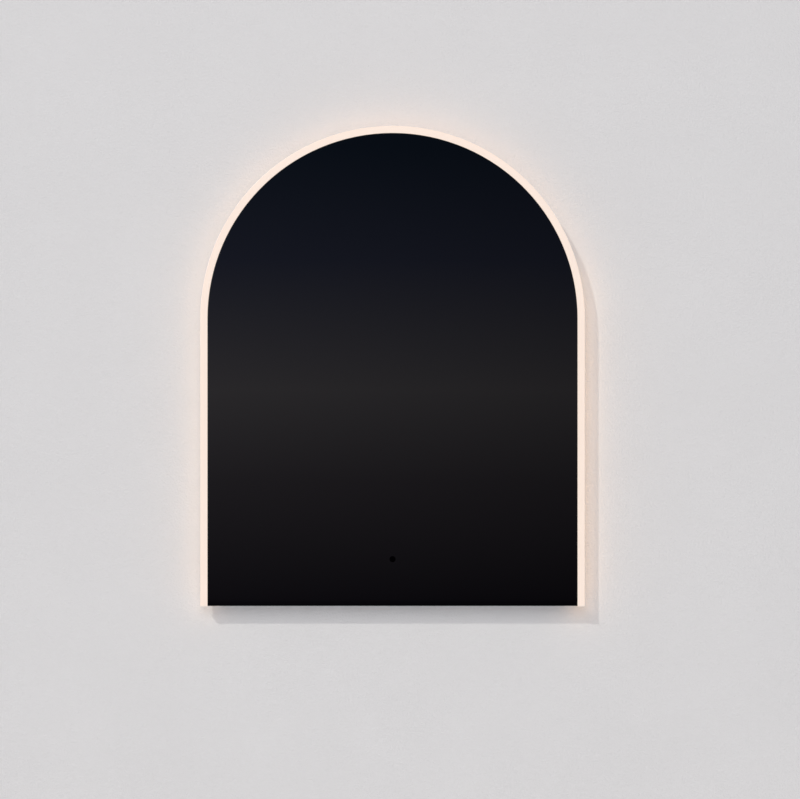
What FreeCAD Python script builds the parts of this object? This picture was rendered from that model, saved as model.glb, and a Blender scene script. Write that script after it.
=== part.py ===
import FreeCAD, Part
import math
import os
import re

import Sketcher

# An arched wall mirror with a lit opal rim, hung on a wall rail. X runs to the viewer's right, Y runs
# into the wall and Z runs up. The origin lies on the wall, midway between the rail's two slots.
# Lengths are in millimetres, and a depth is a distance out from the wall, towards the room.

SIZES = {
    # the whole mirror
    "overall_width": 800,
    "overall_height": 1000,
    "stand_off": 40,
    "fixing_height": 550,
    "fit_gap": 0.2,
    "overlap": 1,
    # mirror glass and the tape that bonds it
    "glass_thickness": 5,
    "glass_arris": 0.5,
    "glass_lift": 1,
    "tape_thickness": 1,
    "tape_width": 18,
    "tape_inset": 5,
    # opal rim and its end caps
    "rim_width": 15,
    "rim_depth": 15,
    "rim_wall": 2.5,
    "rim_seat": 6,
    "rim_bevel": 1,
    "cap_thickness": 2,
    "plug_length": 5,
    # light frame: the bent profile, the straight rail below it and their corner brackets
    "frame_wall": 1.5,
    "frame_inset": 26,
    "frame_lip": 12,
    "frame_gap": 5.5,
    "lamp_web_inset": 3.2,
    "shelf_reach": 6,
    "bracket_leg": 25,
    "bracket_depth": 18,
    "bracket_wall": 2,
    # lamp strip
    "strip_width": 8,
    "strip_thickness": 0.8,
    "lamp_pitch": 33.3,
    "lamp_length": 2.8,
    "lamp_width": 3.5,
    "lamp_height": 1,
    # wall rail
    "rail_length": 480,
    "rail_thickness": 2,
    "rail_foot": 22,
    "rail_flat": 8,
    "rail_top": 28,
    "rail_corner": 4,
    "hook_slot": 4.5,
    "slot_spacing": 400,
    "slot_width": 6.5,
    "slot_length": 14,
    # upper cross rail and hangers
    "cross_height": 40,
    "cross_low": 16,
    "cross_depth": 10,
    "cross_wall": 1.5,
    "hanger_spacing": 300,
    "hanger_width": 60,
    "hanger_wall": 2,
    "hanger_leaf": 22,
    "tongue_gap": 1.2,
    "tongue_drop": 12,
    # gear plate
    "gear_above": 190,
    "gear_height": 80,
    "gear_wall": 1.2,
    "gear_clearance": 4,
    "gear_flange": 5,
    "gear_end_height": 21,
    # lamp driver
    "driver_x": 40,
    "driver_length": 180,
    "driver_height": 44,
    "driver_depth": 15,
    "driver_lid": 5,
    "driver_ear": 10,
    "driver_ear_wall": 3,
    # terminal box
    "box_x": -150,
    "box_length": 80,
    "box_height": 46,
    "box_depth": 18,
    "box_wall": 2,
    "box_lid": 3,
    "box_corner": 4,
    "block_length": 34,
    "block_height": 16,
    "block_depth": 12,
    # cable gland
    "cable_radius": 3.5,
    "gland_spigot": 8,
    "gland_hex": 15,
    "gland_hex_length": 6,
    "gland_collar_radius": 6,
    "gland_collar_length": 6,
    "gland_thread_step": 1,
    "gland_nut_length": 15,
    "gland_nut_front": 3,
    # touch sensor, demister pad and leads
    "sensor_above": 98.5,
    "sensor_width": 46,
    "sensor_height": 30,
    "sensor_depth": 7,
    "sensor_pad": 1,
    "demister_above": 440,
    "demister_width": 400,
    "demister_height": 260,
    "demister_thickness": 0.8,
    "joint_inset": 50,
    "joint_cover_width": 24,
    "joint_cover_height": 14,
    "joint_cover_depth": 4,
    "mains_lead": 6.5,
    "lamp_lead": 3.5,
    "lamp_lead_above": 150,
    "lamp_lead_drop": 8,
    "grommet_radius": 3.5,
    "grommet_flange": 1,
    "small_lead": 3,
    "clip_wall": 1.6,
    "clip_length": 8,
    # bumpers and fasteners
    "bumper_radius": 5,
    "rivet_radius": 2,
    "rivet_head": 3.5,
    "rivet_head_height": 1.1,
    "screw_radius": 1.25,
    "screw_head": 2.3,
    "screw_head_height": 1.7,
    "leg_screws": 2,
    "arch_screws": 3,
}

PLACES = {
    "outer_radius": "overall_width / 2",
    "rim_inner": "outer_radius - rim_width",
    "lower_edge": "-fixing_height",
    "arch_height": "lower_edge + overall_height - outer_radius",
    "foot": "lower_edge + cap_thickness",
    "glass_foot": "lower_edge + glass_lift",
    "glass_back": "stand_off - glass_thickness",
    "frame_front": "glass_back - tape_thickness",
    "rim_back": "stand_off - rim_depth",
    "shelf_back": "rim_back - frame_wall",
    "web_inner": "rim_inner - frame_inset",
    "web_middle": "web_inner + frame_wall / 2",
    "lip_inner": "web_inner - frame_lip",
    "lip_middle": "web_inner - frame_lip / 2",
    "lip_front": "frame_gap + frame_wall",
    "chamber_middle": "(rim_back + frame_front - frame_wall) / 2",
    "strip_middle": "(rim_back + frame_front) / 2",
    "lower_web": "glass_foot + frame_inset",
    "screw_ring": "rim_inner + shelf_reach / 2",
    "bracket_back": "lip_front + fit_gap",
    "cross_top": "cross_low + cross_height",
    "gear_low": "lower_edge + gear_above",
    "gear_middle": "gear_low + gear_height / 2",
    "gear_front": "glass_back - gear_clearance",
    "gear_floor": "gear_front - gear_wall",
    "gear_screw_depth": "gear_front - gear_end_height * 2 / 3",
    "shelf_low": "rail_top + fit_gap",
    "leaf_middle": "shelf_low + hanger_wall + hanger_leaf / 2",
    "driver_left": "driver_x - driver_length / 2",
    "driver_right": "driver_x + driver_length / 2",
    "box_left": "box_x - box_length / 2",
    "box_right": "box_x + box_length / 2",
    "box_upper": "gear_middle + box_height / 2",
    "box_middle": "gear_floor - box_depth / 2",
    "box_back": "gear_floor - box_depth",
    "sensor_middle": "lower_edge + sensor_above",
    "sensor_front": "glass_back - sensor_pad",
    "demister_middle": "lower_edge + demister_above",
    "demister_low": "demister_middle - demister_height / 2",
    "demister_back": "glass_back - demister_thickness",
    "joint_x": "joint_inset - demister_width / 2",
    "lamp_lead_height": "lower_edge + lamp_lead_above",
    "lip_end": "lower_web + frame_lip + fit_gap",
    "gland_thread": "gland_collar_radius - gland_thread_step",
}

# how finely the small round pieces are drawn, and their proportions
FASTENER_SIDES = 8
LEAD_SIDES = 8
BUMPER_SIDES = 12
GROMMET_SIDES = 12
GLAND_SIDES = 16
CLIP_SIDES = 12
HEAD_TAPER = 0.72
RIVET_TAIL = 1.5
BUMPER_TAPER = 0.8
BEND_SHARE = 0.45

doc = FreeCAD.newDocument("lighted_mirror")
dims = doc.addObject("Spreadsheet::Sheet", "dims")
for row, (size_name, size) in enumerate(SIZES.items(), start=1):
    dims.set(f"A{row}", size_name)
    dims.set(f"B{row}", str(size))
    dims.setAlias(f"B{row}", size_name)
doc.recompute()


def bound(text):
    """The expression with each size read from the sheet and each named place written out."""
    def swap(match):
        word = match.group()
        if word in SIZES:
            return "dims." + word
        if word in PLACES:
            return "(" + bound(PLACES[word]) + ")"
        return word
    return re.sub(r"[a-z][a-z_]+", swap, str(text))


def value(text):
    """The number that an expression gives now."""
    return float(dims.evalExpression(bound(text)))


def vector(x, y, z=0):
    return FreeCAD.Vector(x, y, z)


# ---- outlines: corners run round the shape; a corner of five values ends an arc, and its last three
# are the arc's centre and its turn, 1 for anticlockwise and -1 for clockwise

def minus(text):
    return f"-({text})"


def rectangle(left, low, right, high):
    return [(left, low), (right, low), (right, high), (left, high)]


def arch(radius, foot):
    """A door-shaped outline: two straight sides under a half circle."""
    return [
        (minus(radius), foot),
        (radius, foot),
        (radius, "arch_height"),
        (minus(radius), "arch_height", "0", "arch_height", 1),
    ]


def arch_line(radius, foot):
    """The line up the right side, round the half circle and down the left side."""
    return [
        (radius, foot),
        (radius, "arch_height"),
        (minus(radius), "arch_height", "0", "arch_height", 1),
        (minus(radius), foot),
    ]


def band(outer, inner, foot):
    """The strip between two arches, open at its foot."""
    return [
        (inner, foot),
        *arch_line(outer, foot),
        (minus(inner), foot),
        (minus(inner), "arch_height"),
        (inner, "arch_height", "0", "arch_height", -1),
    ]


def slot(x, z, length, width):
    """A level slot with round ends."""
    half = f"({length}) / 2 - ({width}) / 2"
    radius = f"({width}) / 2"
    left = f"{x} - ({half})"
    right = f"{x} + ({half})"
    return [
        (right, f"{z} - {radius}"),
        (right, f"{z} + {radius}", right, z, 1),
        (left, f"{z} + {radius}"),
        (left, f"{z} - {radius}", left, z, 1),
    ]


def circle(x, z, radius):
    return {"x": x, "y": z, "radius": radius}


def hole(x, z, radius, sides=FASTENER_SIDES):
    """A hole for a screw, a rivet or a lead, drawn with as many sides as what fills it."""
    turns = [f"360 * {step} / {sides}" for step in range(sides)]
    return [(f"{x} + {radius} * cos({turn})", f"{z} + {radius} * sin({turn})") for turn in turns]


# ---- sketches, on a body's own planes: "front" holds x and height and lies at a depth, "plan" holds
# x and depth and lies at a height, and "side" holds depth and height and lies at an x

PLANES = {"front": "XZ_Plane", "plan": "XY_Plane", "side": "YZ_Plane"}


def on_plane(view, first, second):
    if view == "plan":
        return first, minus(second)
    if view == "side":
        return minus(first), second
    return first, second


def new_body(label):
    body = doc.addObject("PartDesign::Body", label)
    body.Label = label
    return body


def new_sketch(body, name, view, offset):
    sketch = body.newObject("Sketcher::SketchObject", f"{body.Name}_{name}")
    plane = next(item for item in body.Origin.OriginFeatures if item.Role == PLANES[view])
    sketch.AttachmentSupport = (plane, [""])
    sketch.MapMode = "FlatFace"
    sketch.setExpression("AttachmentOffset.Base.z", bound(offset))
    return sketch


def limit(sketch, text, kind, *geometry):
    """One constraint of a sketch, bound to an expression."""
    index = sketch.addConstraint(Sketcher.Constraint(kind, *geometry, value(text)))
    sketch.setExpression(f"Constraints[{index}]", bound(text))


def pin_point(sketch, piece, end, x, y):
    limit(sketch, x, "DistanceX", -1, 1, piece, end)
    limit(sketch, y, "DistanceY", -1, 1, piece, end)


def draw_arc(sketch, start, finish, centre, turn):
    first, last = (start, finish) if turn > 0 else (finish, start)
    first_angle = math.atan2(first.y - centre.y, first.x - centre.x)
    last_angle = math.atan2(last.y - centre.y, last.x - centre.x)
    if last_angle <= first_angle:
        last_angle += 2 * math.pi
    ring = Part.Circle(centre, vector(0, 0, 1), (start - centre).Length)
    return sketch.addGeometry(Part.ArcOfCircle(ring, first_angle, last_angle), False)


def draw(sketch, view, corners, closed=True):
    """Draw an outline of lines and arcs, every corner held by expressions."""
    flip = 1 if view == "front" else -1
    texts = [on_plane(view, corner[0], corner[1]) for corner in corners]
    points = [vector(value(x), value(y)) for x, y in texts]
    count = len(corners) if closed else len(corners) - 1
    ends = []
    for index in range(count):
        following = (index + 1) % len(corners)
        corner = corners[following]
        if len(corner) == 5:
            centre_text = on_plane(view, corner[2], corner[3])
            centre = vector(value(centre_text[0]), value(centre_text[1]))
            turn = corner[4] * flip
            piece = draw_arc(sketch, points[index], points[following], centre, turn)
            ends.append((piece, 1, 2) if turn > 0 else (piece, 2, 1))
            chord = points[following] - points[index]
            if abs(chord.x) >= abs(chord.y):
                limit(sketch, centre_text[1], "DistanceY", -1, 1, piece, 3)
            else:
                limit(sketch, centre_text[0], "DistanceX", -1, 1, piece, 3)
        else:
            line = Part.LineSegment(points[index], points[following])
            ends.append((sketch.addGeometry(line, False), 1, 2))
        pin_point(sketch, ends[-1][0], ends[-1][1], *texts[index])
    for index, (piece, _, last) in enumerate(ends):
        if closed or index + 1 < count:
            after = ends[(index + 1) % count]
            sketch.addConstraint(Sketcher.Constraint("Coincident", piece, last, after[0], after[1]))
        else:
            pin_point(sketch, piece, last, *texts[-1])


def draw_circle(sketch, view, ring):
    x, y = on_plane(view, ring["x"], ring["y"])
    geometry = Part.Circle(vector(value(x), value(y)), vector(0, 0, 1), value(ring["radius"]))
    piece = sketch.addGeometry(geometry, False)
    pin_point(sketch, piece, 3, x, y)
    limit(sketch, ring["radius"], "Radius", piece)


def draw_all(sketch, view, shapes):
    for shape in shapes:
        if isinstance(shape, dict):
            draw_circle(sketch, view, shape)
        else:
            draw(sketch, view, shape)


# ---- features: a pad and a cut both run out from the wall, up, or to the right

def pad(body, name, view, offset, shapes, length, both_ways=False):
    sketch = new_sketch(body, name, view, offset)
    draw_all(sketch, view, shapes)
    feature = body.newObject("PartDesign::Pad", f"{body.Name}_{name}_pad")
    feature.Profile = sketch
    feature.setExpression("Length", bound(length))
    if both_ways:
        feature.SideType = "Symmetric"
    doc.recompute()
    return feature


def cut(body, name, view, offset, shapes, length):
    before = body.Shape.Volume
    sketch = new_sketch(body, name, view, offset)
    draw_all(sketch, view, shapes)
    feature = body.newObject("PartDesign::Pocket", f"{body.Name}_{name}_cut")
    feature.Profile = sketch
    feature.Reversed = True
    feature.setExpression("Length", bound(length))
    doc.recompute()
    if not body.Shape.Volume < before:
        raise ValueError(f"{body.Label}: {name} cuts nothing")
    return feature


def sweep(body, name, shapes, radius, foot):
    """Carry a plan-view section up the right side, round the arch and down the left side."""
    path = new_sketch(body, name + "_path", "front", "rim_back")
    draw(path, "front", arch_line(radius, foot), closed=False)
    section = new_sketch(body, name + "_section", "plan", foot)
    draw_all(section, "plan", shapes)
    feature = body.newObject("PartDesign::AdditivePipe", f"{body.Name}_{name}_pipe")
    feature.Profile = section
    feature.Spine = (path, [""])
    doc.recompute()
    return feature


def mirror_copy(body, features):
    """Repeat features on the other side of the upright middle plane."""
    feature = body.newObject("PartDesign::Mirrored", f"{body.Name}_mirrored_{features[0].Name}")
    feature.Originals = features
    plane = next(item for item in body.Origin.OriginFeatures if item.Role == "YZ_Plane")
    feature.MirrorPlane = (plane, [""])
    body.Tip = feature
    doc.recompute()
    return feature


def dress(body, kind, radius, wanted):
    """Fillet or chamfer the edges that a test picks out."""
    base = body.Tip
    names = [f"Edge{i}" for i, edge in enumerate(base.Shape.Edges, start=1) if wanted(edge)]
    feature = body.newObject(f"PartDesign::{kind}", f"{body.Name}_{kind.lower()}")
    feature.Base = (base, names)
    feature.setExpression("Size" if kind == "Chamfer" else "Radius", bound(radius))
    doc.recompute()
    return feature


def runs_along(edge, axis):
    """Whether a straight edge lies along an axis."""
    if len(edge.Vertexes) != 2 or edge.Curve.TypeId != "Part::GeomLine":
        return False
    step = edge.Vertexes[1].Point - edge.Vertexes[0].Point
    return abs(abs(step.dot(axis)) - step.Length) < 1e-6


def shape_part(label, shape):
    feature = doc.addObject("Part::Feature", label)
    feature.Label = label
    feature.Shape = shape
    return feature


def reach(radius, height):
    """How far out from the middle an arch of this radius stands at a height."""
    return f"sqrt(pow({radius}; 2) - pow(max({height} - arch_height; 0); 2))"


X = vector(1, 0, 0)
Y = vector(0, 1, 0)
Z = vector(0, 0, 1)
OUT = -Y


def place(x, depth, height):
    """The point at an x, a depth and a height given by expressions."""
    return vector(value(x), -value(depth), value(height))


def polygon(centre, way, radius, sides):
    """A flat-sided ring round an axis."""
    first = way.cross(Z) if abs(way.dot(Z)) < 0.5 else way.cross(X)
    second = way.cross(first)
    turns = [2 * math.pi * step / sides for step in range(sides)]
    ways = [first * math.cos(turn) + second * math.sin(turn) for turn in turns]
    corners = [centre + way_out * radius for way_out in ways]
    return Part.makePolygon(corners + corners[:1])


def prism(start, way, radius, length, sides, end_radius=None):
    """A flat-sided pin, or a tapered one where its end has a radius of its own."""
    low = polygon(start, way, radius, sides)
    high = polygon(start + way * length, way, end_radius or radius, sides)
    return Part.makeLoft([low, high], True, True)


def fastener(seat, way, shank_radius, shank_length, head_radius, head_height):
    """A headed fastener: the head stands on the seat and the shank runs the given way."""
    head = prism(seat, -way, head_radius, head_height, FASTENER_SIDES, head_radius * HEAD_TAPER)
    shank = prism(seat, way, shank_radius, shank_length, FASTENER_SIDES)
    return head.fuse(shank).removeSplitter()


def screw(seat, way, grip):
    return fastener(
        seat, way, value("screw_radius"), grip, value("screw_head"), value("screw_head_height")
    )


def rivet(seat, way, grip):
    """A set blind rivet: a low dome on one side and a swollen tail on the other."""
    radius = value("rivet_radius")
    body = fastener(seat, way, radius, grip, value("rivet_head"), value("rivet_head_height"))
    tail = prism(seat + way * grip, way, radius * RIVET_TAIL, radius, FASTENER_SIDES, radius)
    return body.fuse(tail).removeSplitter()


def group(label, shapes):
    return shape_part(label, Part.makeCompound(shapes))


def lead(label, points, diameter):
    """A lead on a route of straight runs joined by arcs as large as the runs allow."""
    edges = []
    start = points[0]
    for before, corner, after in zip(points, points[1:], points[2:]):
        arriving = (corner - before).normalize()
        leaving = (after - corner).normalize()
        half_turn = arriving.getAngle(leaving) / 2
        back = BEND_SHARE * min((corner - before).Length, (after - corner).Length)
        radius = back / math.tan(half_turn)
        first = corner - arriving * back
        last = corner + leaving * back
        inward = (leaving - arriving).normalize()
        middle = corner + inward * (radius / math.cos(half_turn) - radius)
        edges.append(Part.LineSegment(start, first).toShape())
        edges.append(Part.Arc(first, middle, last).toShape())
        print(f"{label}: bend radius {radius:.0f} mm")
        start = last
    edges.append(Part.LineSegment(start, points[-1]).toShape())
    path = Part.Wire(edges)
    heading = (points[1] - points[0]).normalize()
    ring = polygon(points[0], heading, diameter / 2, LEAD_SIDES)
    tube = path.makePipeShell([ring], True, False)
    share = tube.Volume / (Part.Face(ring).Area * path.Length)
    print(f"{label}: {path.Length:.0f} mm long, volume {share:.3f} of section times length")
    return shape_part(label, tube)


# ---- wall rail: a strip folded so that its upper lip stands clear of the wall

def make_wall_rail():
    rail = new_body("wall_rail")
    crank = "rail_thickness * (sqrt(2) - 1)"
    section = [
        ("0", "-rail_foot"),
        ("rail_thickness", "-rail_foot"),
        ("rail_thickness", "rail_flat"),
        ("rail_thickness + hook_slot", "rail_flat + hook_slot"),
        ("rail_thickness + hook_slot", "rail_top"),
        ("hook_slot", "rail_top"),
        ("hook_slot", f"rail_flat + hook_slot + {crank}"),
        ("0", f"rail_flat + {crank}"),
    ]
    pad(rail, "strip", "side", "0", [section], "rail_length", both_ways=True)
    slots = [slot(f"{side} * slot_spacing / 2", "0", "slot_length", "slot_width") for side in (-1, 1)]
    cut(rail, "slots", "front", "0", slots, "rail_thickness")
    dress(rail, "Fillet", "rail_corner", is_rail_corner)


def is_rail_corner(edge):
    ends = abs(abs(edge.CenterOfMass.x) - value("rail_length / 2")) < 1e-6
    return ends and runs_along(edge, Y) and edge.Length < value("rail_thickness") + 1e-3


# ---- mirror glass, its arrised edge, and the tape round its back

def make_glass():
    glass = new_body("mirror_glass")
    sheet = arch("rim_inner - fit_gap", "glass_foot")
    pad(glass, "sheet", "front", "glass_back", [sheet], "glass_thickness")
    front = -value("stand_off")
    dress(glass, "Chamfer", "glass_arris", lambda edge: abs(edge.CenterOfMass.y - front) < 1e-6)


def make_tape():
    tape = new_body("glass_bond_tape")
    outer = arch("rim_inner - tape_inset", "glass_foot + tape_inset")
    inner = arch("rim_inner - tape_inset - tape_width", "glass_foot + tape_inset + tape_width")
    pad(tape, "ring", "front", "frame_front", [outer, inner], "tape_thickness")


# ---- opal rim: a hollow profile, open to the lamps on its inner side, bent round the arch

def make_rim():
    rim = new_body("diffuser_rim")
    section = [
        ("rim_inner", "stand_off"),
        ("outer_radius - rim_bevel", "stand_off"),
        ("outer_radius", "stand_off - rim_bevel"),
        ("outer_radius", "rim_back + rim_bevel"),
        ("outer_radius - rim_bevel", "rim_back"),
        ("rim_inner", "rim_back"),
        ("rim_inner", "rim_back + rim_wall"),
        ("outer_radius - rim_wall", "rim_back + rim_wall"),
        ("outer_radius - rim_wall", "stand_off - rim_wall"),
        ("rim_inner + rim_wall", "stand_off - rim_wall"),
        ("rim_inner + rim_wall", "stand_off - rim_seat"),
        ("rim_inner", "stand_off - rim_seat"),
    ]
    sweep(rim, "profile", [section], "outer_radius", "foot")
    cut(rim, "screw_holes", "front", "rim_back", rim_screw_holes(), "rim_wall")


def rim_screw_places():
    """Where screws hold the rim to the frame's shelf: up both sides and round the arch."""
    places = []
    leg_count = int(SIZES["leg_screws"])
    for step in range(leg_count):
        height = f"foot + (arch_height - foot) * {step + 0.5} / leg_screws"
        places += [("screw_ring", height), ("-screw_ring", height)]
    for step in range(1, int(SIZES["arch_screws"]) + 1):
        angle = f"180 * {step} / (arch_screws + 1)"
        places.append((f"screw_ring * cos({angle})", f"arch_height + screw_ring * sin({angle})"))
    return places


def rim_screw_holes():
    return [hole(x, height, "screw_radius") for x, height in rim_screw_places()]


def make_rim_screws():
    grip = value("frame_wall + rim_wall - fit_gap")
    screws = [screw(place(x, "shelf_back", height), OUT, grip) for x, height in rim_screw_places()]
    group("rim_screws", screws)


def make_end_cap(label, side):
    """The cap over one foot of the rim and frame, with a plug that fits inside the rim."""
    cap = new_body(label)

    def across(text):
        return f"{side} * ({text})"

    plate = [
        (across("outer_radius"), "stand_off"),
        (across("rim_inner"), "stand_off"),
        (across("rim_inner"), "frame_front"),
        (across("web_inner"), "frame_front"),
        (across("web_inner"), "shelf_back"),
        (across("rim_inner + shelf_reach"), "shelf_back"),
        (across("rim_inner + shelf_reach"), "rim_back"),
        (across("outer_radius"), "rim_back"),
    ]
    plug = rectangle(
        across("rim_inner + rim_wall + fit_gap"),
        "rim_back + rim_wall + fit_gap",
        across("outer_radius - rim_wall - fit_gap"),
        "stand_off - rim_wall - fit_gap",
    )
    pad(cap, "plate", "plan", "lower_edge", [plate], "cap_thickness")
    pad(cap, "plug", "plan", "foot", [plug], "plug_length")


# ---- light frame: a bent profile with a closed chamber behind the glass, a web that carries the
# lamps, a shelf that holds the rim and a rear web with a lip, which stand further in

def make_frame():
    frame = new_body("light_frame")
    lamp_web = "rim_inner - lamp_web_inset"
    outside = [
        (lamp_web, "frame_front"),
        (lamp_web, "rim_back"),
        ("rim_inner + shelf_reach", "rim_back"),
        ("rim_inner + shelf_reach", "shelf_back"),
        ("web_inner + frame_wall", "shelf_back"),
        ("web_inner + frame_wall", "frame_gap"),
        ("lip_inner", "frame_gap"),
        ("lip_inner", "lip_front"),
        ("web_inner", "lip_front"),
        ("web_inner", "frame_front"),
    ]
    chamber = rectangle(
        "web_inner + frame_wall", "rim_back", f"{lamp_web} - frame_wall", "frame_front - frame_wall"
    )
    sweep(frame, "profile", [outside, chamber], "rim_inner", "foot")
    notches = [
        rectangle(f"{side} * (lip_inner - overlap)", "foot - overlap", f"{side} * web_inner", "lip_end")
        for side in (-1, 1)
    ]
    cut(frame, "lip_notches", "front", "frame_gap", notches, "frame_wall")
    cut(frame, "rim_screw_holes", "front", "shelf_back", rim_screw_holes(), "frame_wall")
    rivets = [hole(x, height, "rivet_radius") for x, height in cross_rivet_places()]
    cut(frame, "rivet_holes", "front", "frame_gap", rivets, "frame_wall")
    web_holes = [hole(depth, height, "screw_radius") for depth, height in gear_screw_places()]
    web_holes.append(hole(*corner_screw_place(), "screw_radius"))
    for side, start in (("right", "web_inner"), ("left", "-web_inner - frame_wall")):
        cut(frame, f"web_holes_{side}", "side", start, web_holes, "frame_wall")
    grommet_hole = hole("chamber_middle", "lamp_lead_height", "grommet_radius", GROMMET_SIDES)
    cut(frame, "grommet_hole", "side", "web_inner", [grommet_hole], "frame_wall")
    lead_radius = "(lamp_lead / 2 + fit_gap)"
    lead_hole = hole("chamber_middle", "lamp_lead_height", lead_radius, LEAD_SIDES)
    cut(frame, "lead_hole", "side", f"{lamp_web} - frame_wall", [lead_hole], "frame_wall")


def make_bottom_rail():
    rail = new_body("bottom_rail")
    section = [
        ("frame_front", "glass_foot + lamp_web_inset"),
        ("frame_front", "lower_web"),
        ("lip_front", "lower_web"),
        ("lip_front", "lower_web + frame_lip"),
        ("frame_gap", "lower_web + frame_lip"),
        ("frame_gap", "lower_web - frame_wall"),
        ("frame_front - frame_wall", "lower_web - frame_wall"),
        ("frame_front - frame_wall", "glass_foot + lamp_web_inset"),
    ]
    pad(rail, "strip", "side", "0", [section], "2 * (web_inner - fit_gap)", both_ways=True)
    depth = corner_screw_place()[0]
    middle = "web_inner - bracket_leg / 2"
    holes = [hole(f"{side} * ({middle})", depth, "screw_radius") for side in (-1, 1)]
    cut(rail, "screw_holes", "plan", "lower_web - frame_wall", holes, "frame_wall")


def corner_screw_place():
    return "bracket_back + bracket_depth / 2", "lower_web + bracket_leg / 2"


def make_corner_bracket(label, side):
    """A folded angle in the corner between the frame's leg and the bottom rail."""
    bracket = new_body(label)

    def across(text):
        return f"{side} * ({text})"

    angle = [
        (across("web_inner"), "lower_web"),
        (across("web_inner"), "lower_web + bracket_leg"),
        (across("web_inner - bracket_wall"), "lower_web + bracket_leg"),
        (across("web_inner - bracket_wall"), "lower_web + bracket_wall"),
        (across("web_inner - bracket_leg"), "lower_web + bracket_wall"),
        (across("web_inner - bracket_leg"), "lower_web"),
    ]
    pad(bracket, "angle", "front", "bracket_back", [angle], "bracket_depth")
    depth, height = corner_screw_place()
    start = "web_inner - bracket_wall" if side > 0 else "-web_inner"
    cut(bracket, "web_hole", "side", start, [hole(depth, height, "screw_radius")], "bracket_wall")
    rail_hole = hole(across("web_inner - bracket_leg / 2"), depth, "screw_radius")
    cut(bracket, "rail_hole", "plan", "lower_web", [rail_hole], "bracket_wall")


def make_corner_screws():
    depth, height = corner_screw_place()
    grip = value("bracket_wall + frame_wall")
    screws = []
    for side in (-1, 1):
        seat = place(f"{side} * (web_inner - bracket_wall)", depth, height)
        screws.append(screw(seat, X * side, grip))
        seat = place(f"{side} * (web_inner - bracket_leg / 2)", depth, "lower_web + bracket_wall")
        screws.append(screw(seat, -Z, grip))
    group("corner_screws", screws)


# ---- lamp strip: a flexible circuit on the frame's lamp web, with a lamp at every pitch

def lamp_stations(radius, foot):
    """Evenly spaced places on an arch-shaped line: x, height and the outward angle of each."""
    straight = value("arch_height") - foot
    total = 2 * straight + math.pi * radius
    count = int(total / value("lamp_pitch"))
    for index in range(count):
        run = (index + 0.5) * total / count
        if run < straight:
            yield radius, foot + run, 0.0
        elif run > total - straight:
            yield -radius, foot + total - run, math.pi
        else:
            angle = (run - straight) / radius
            yield radius * math.cos(angle), value("arch_height") + radius * math.sin(angle), angle


def make_lamp_strip():
    foot = "foot + plug_length"
    back = "rim_inner - lamp_web_inset + fit_gap"
    circuit = new_body("strip_circuit")
    edge = "strip_middle - strip_width / 2"
    pad(circuit, "strip", "front", edge, [band(f"{back} + strip_thickness", back, foot)], "strip_width")
    radius = value(f"{back} + strip_thickness")
    high, wide, long = value("lamp_height"), value("lamp_width"), value("lamp_length")
    lamps = []
    for x, height, angle in lamp_stations(radius, value(foot)):
        lamp = Part.makeBox(high, wide, long, vector(0, -wide / 2, -long / 2))
        lamp.rotate(vector(0, 0, 0), Y, -math.degrees(angle))
        lamp.translate(vector(x, -value("strip_middle"), height))
        lamps.append(lamp)
    shape_part("strip_lamps", Part.makeCompound(lamps))
    strip = doc.addObject("Part::Fuse", "lamp_strip")
    strip.Label = "lamp_strip"
    strip.Base = circuit
    strip.Tool = doc.getObject("strip_lamps")
    doc.recompute()


# ---- upper cross rail, which carries the mirror, and the two hangers that hook over the wall rail

def cross_rail_half():
    """Half the rail's length: its upper corners just clear the frame's rear web."""
    return f"({reach('web_inner', 'cross_top')} - fit_gap)"


def cross_rivet_places():
    """Two rivets at each end of the rail, midway between the lip's inner edge and the rail's end."""
    places = []
    for height in ("cross_low + cross_height / 4", "cross_low + cross_height * 3 / 4"):
        middle = f"({reach('lip_inner', height)} + {cross_rail_half()}) / 2"
        places += [(minus(middle), height), (middle, height)]
    return places


def hanger_rivet_places(side):
    half = "hanger_width / 4"
    return [(f"{side} * hanger_spacing / 2 {way} {half}", "leaf_middle") for way in "-+"]


def make_upper_cross_rail():
    rail = new_body("upper_cross_rail")
    front = "lip_front + cross_depth"
    section = [
        ("lip_front", "cross_low"),
        (front, "cross_low"),
        (front, "cross_low + cross_wall"),
        ("lip_front + cross_wall", "cross_low + cross_wall"),
        ("lip_front + cross_wall", "cross_top - cross_wall"),
        (front, "cross_top - cross_wall"),
        (front, "cross_top"),
        ("lip_front", "cross_top"),
    ]
    pad(rail, "channel", "side", "0", [section], f"2 * {cross_rail_half()}", both_ways=True)
    places = cross_rivet_places() + hanger_rivet_places(-1) + hanger_rivet_places(1)
    holes = [hole(x, height, "rivet_radius") for x, height in places]
    cut(rail, "rivet_holes", "front", "lip_front", holes, "cross_wall")


def make_hanger(label, side):
    """A folded plate: a leaf on the cross rail, a ledge that rests on the rail's lip, and a tongue."""
    hanger = new_body(label)
    leaf_back = "lip_front - hanger_wall"
    ledge_top = "shelf_low + hanger_wall"
    tongue_end = "rail_top - tongue_drop"
    section = [
        ("lip_front", "shelf_low"),
        ("lip_front", f"{ledge_top} + hanger_leaf"),
        (leaf_back, f"{ledge_top} + hanger_leaf"),
        (leaf_back, ledge_top),
        ("tongue_gap", ledge_top),
        ("tongue_gap", tongue_end),
        ("tongue_gap + hanger_wall", tongue_end),
        ("tongue_gap + hanger_wall", "shelf_low"),
    ]
    left = f"{side} * hanger_spacing / 2 - hanger_width / 2"
    pad(hanger, "plate", "side", left, [section], "hanger_width")
    holes = [hole(x, height, "rivet_radius") for x, height in hanger_rivet_places(side)]
    cut(hanger, "rivet_holes", "front", leaf_back, holes, "hanger_wall")


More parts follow.
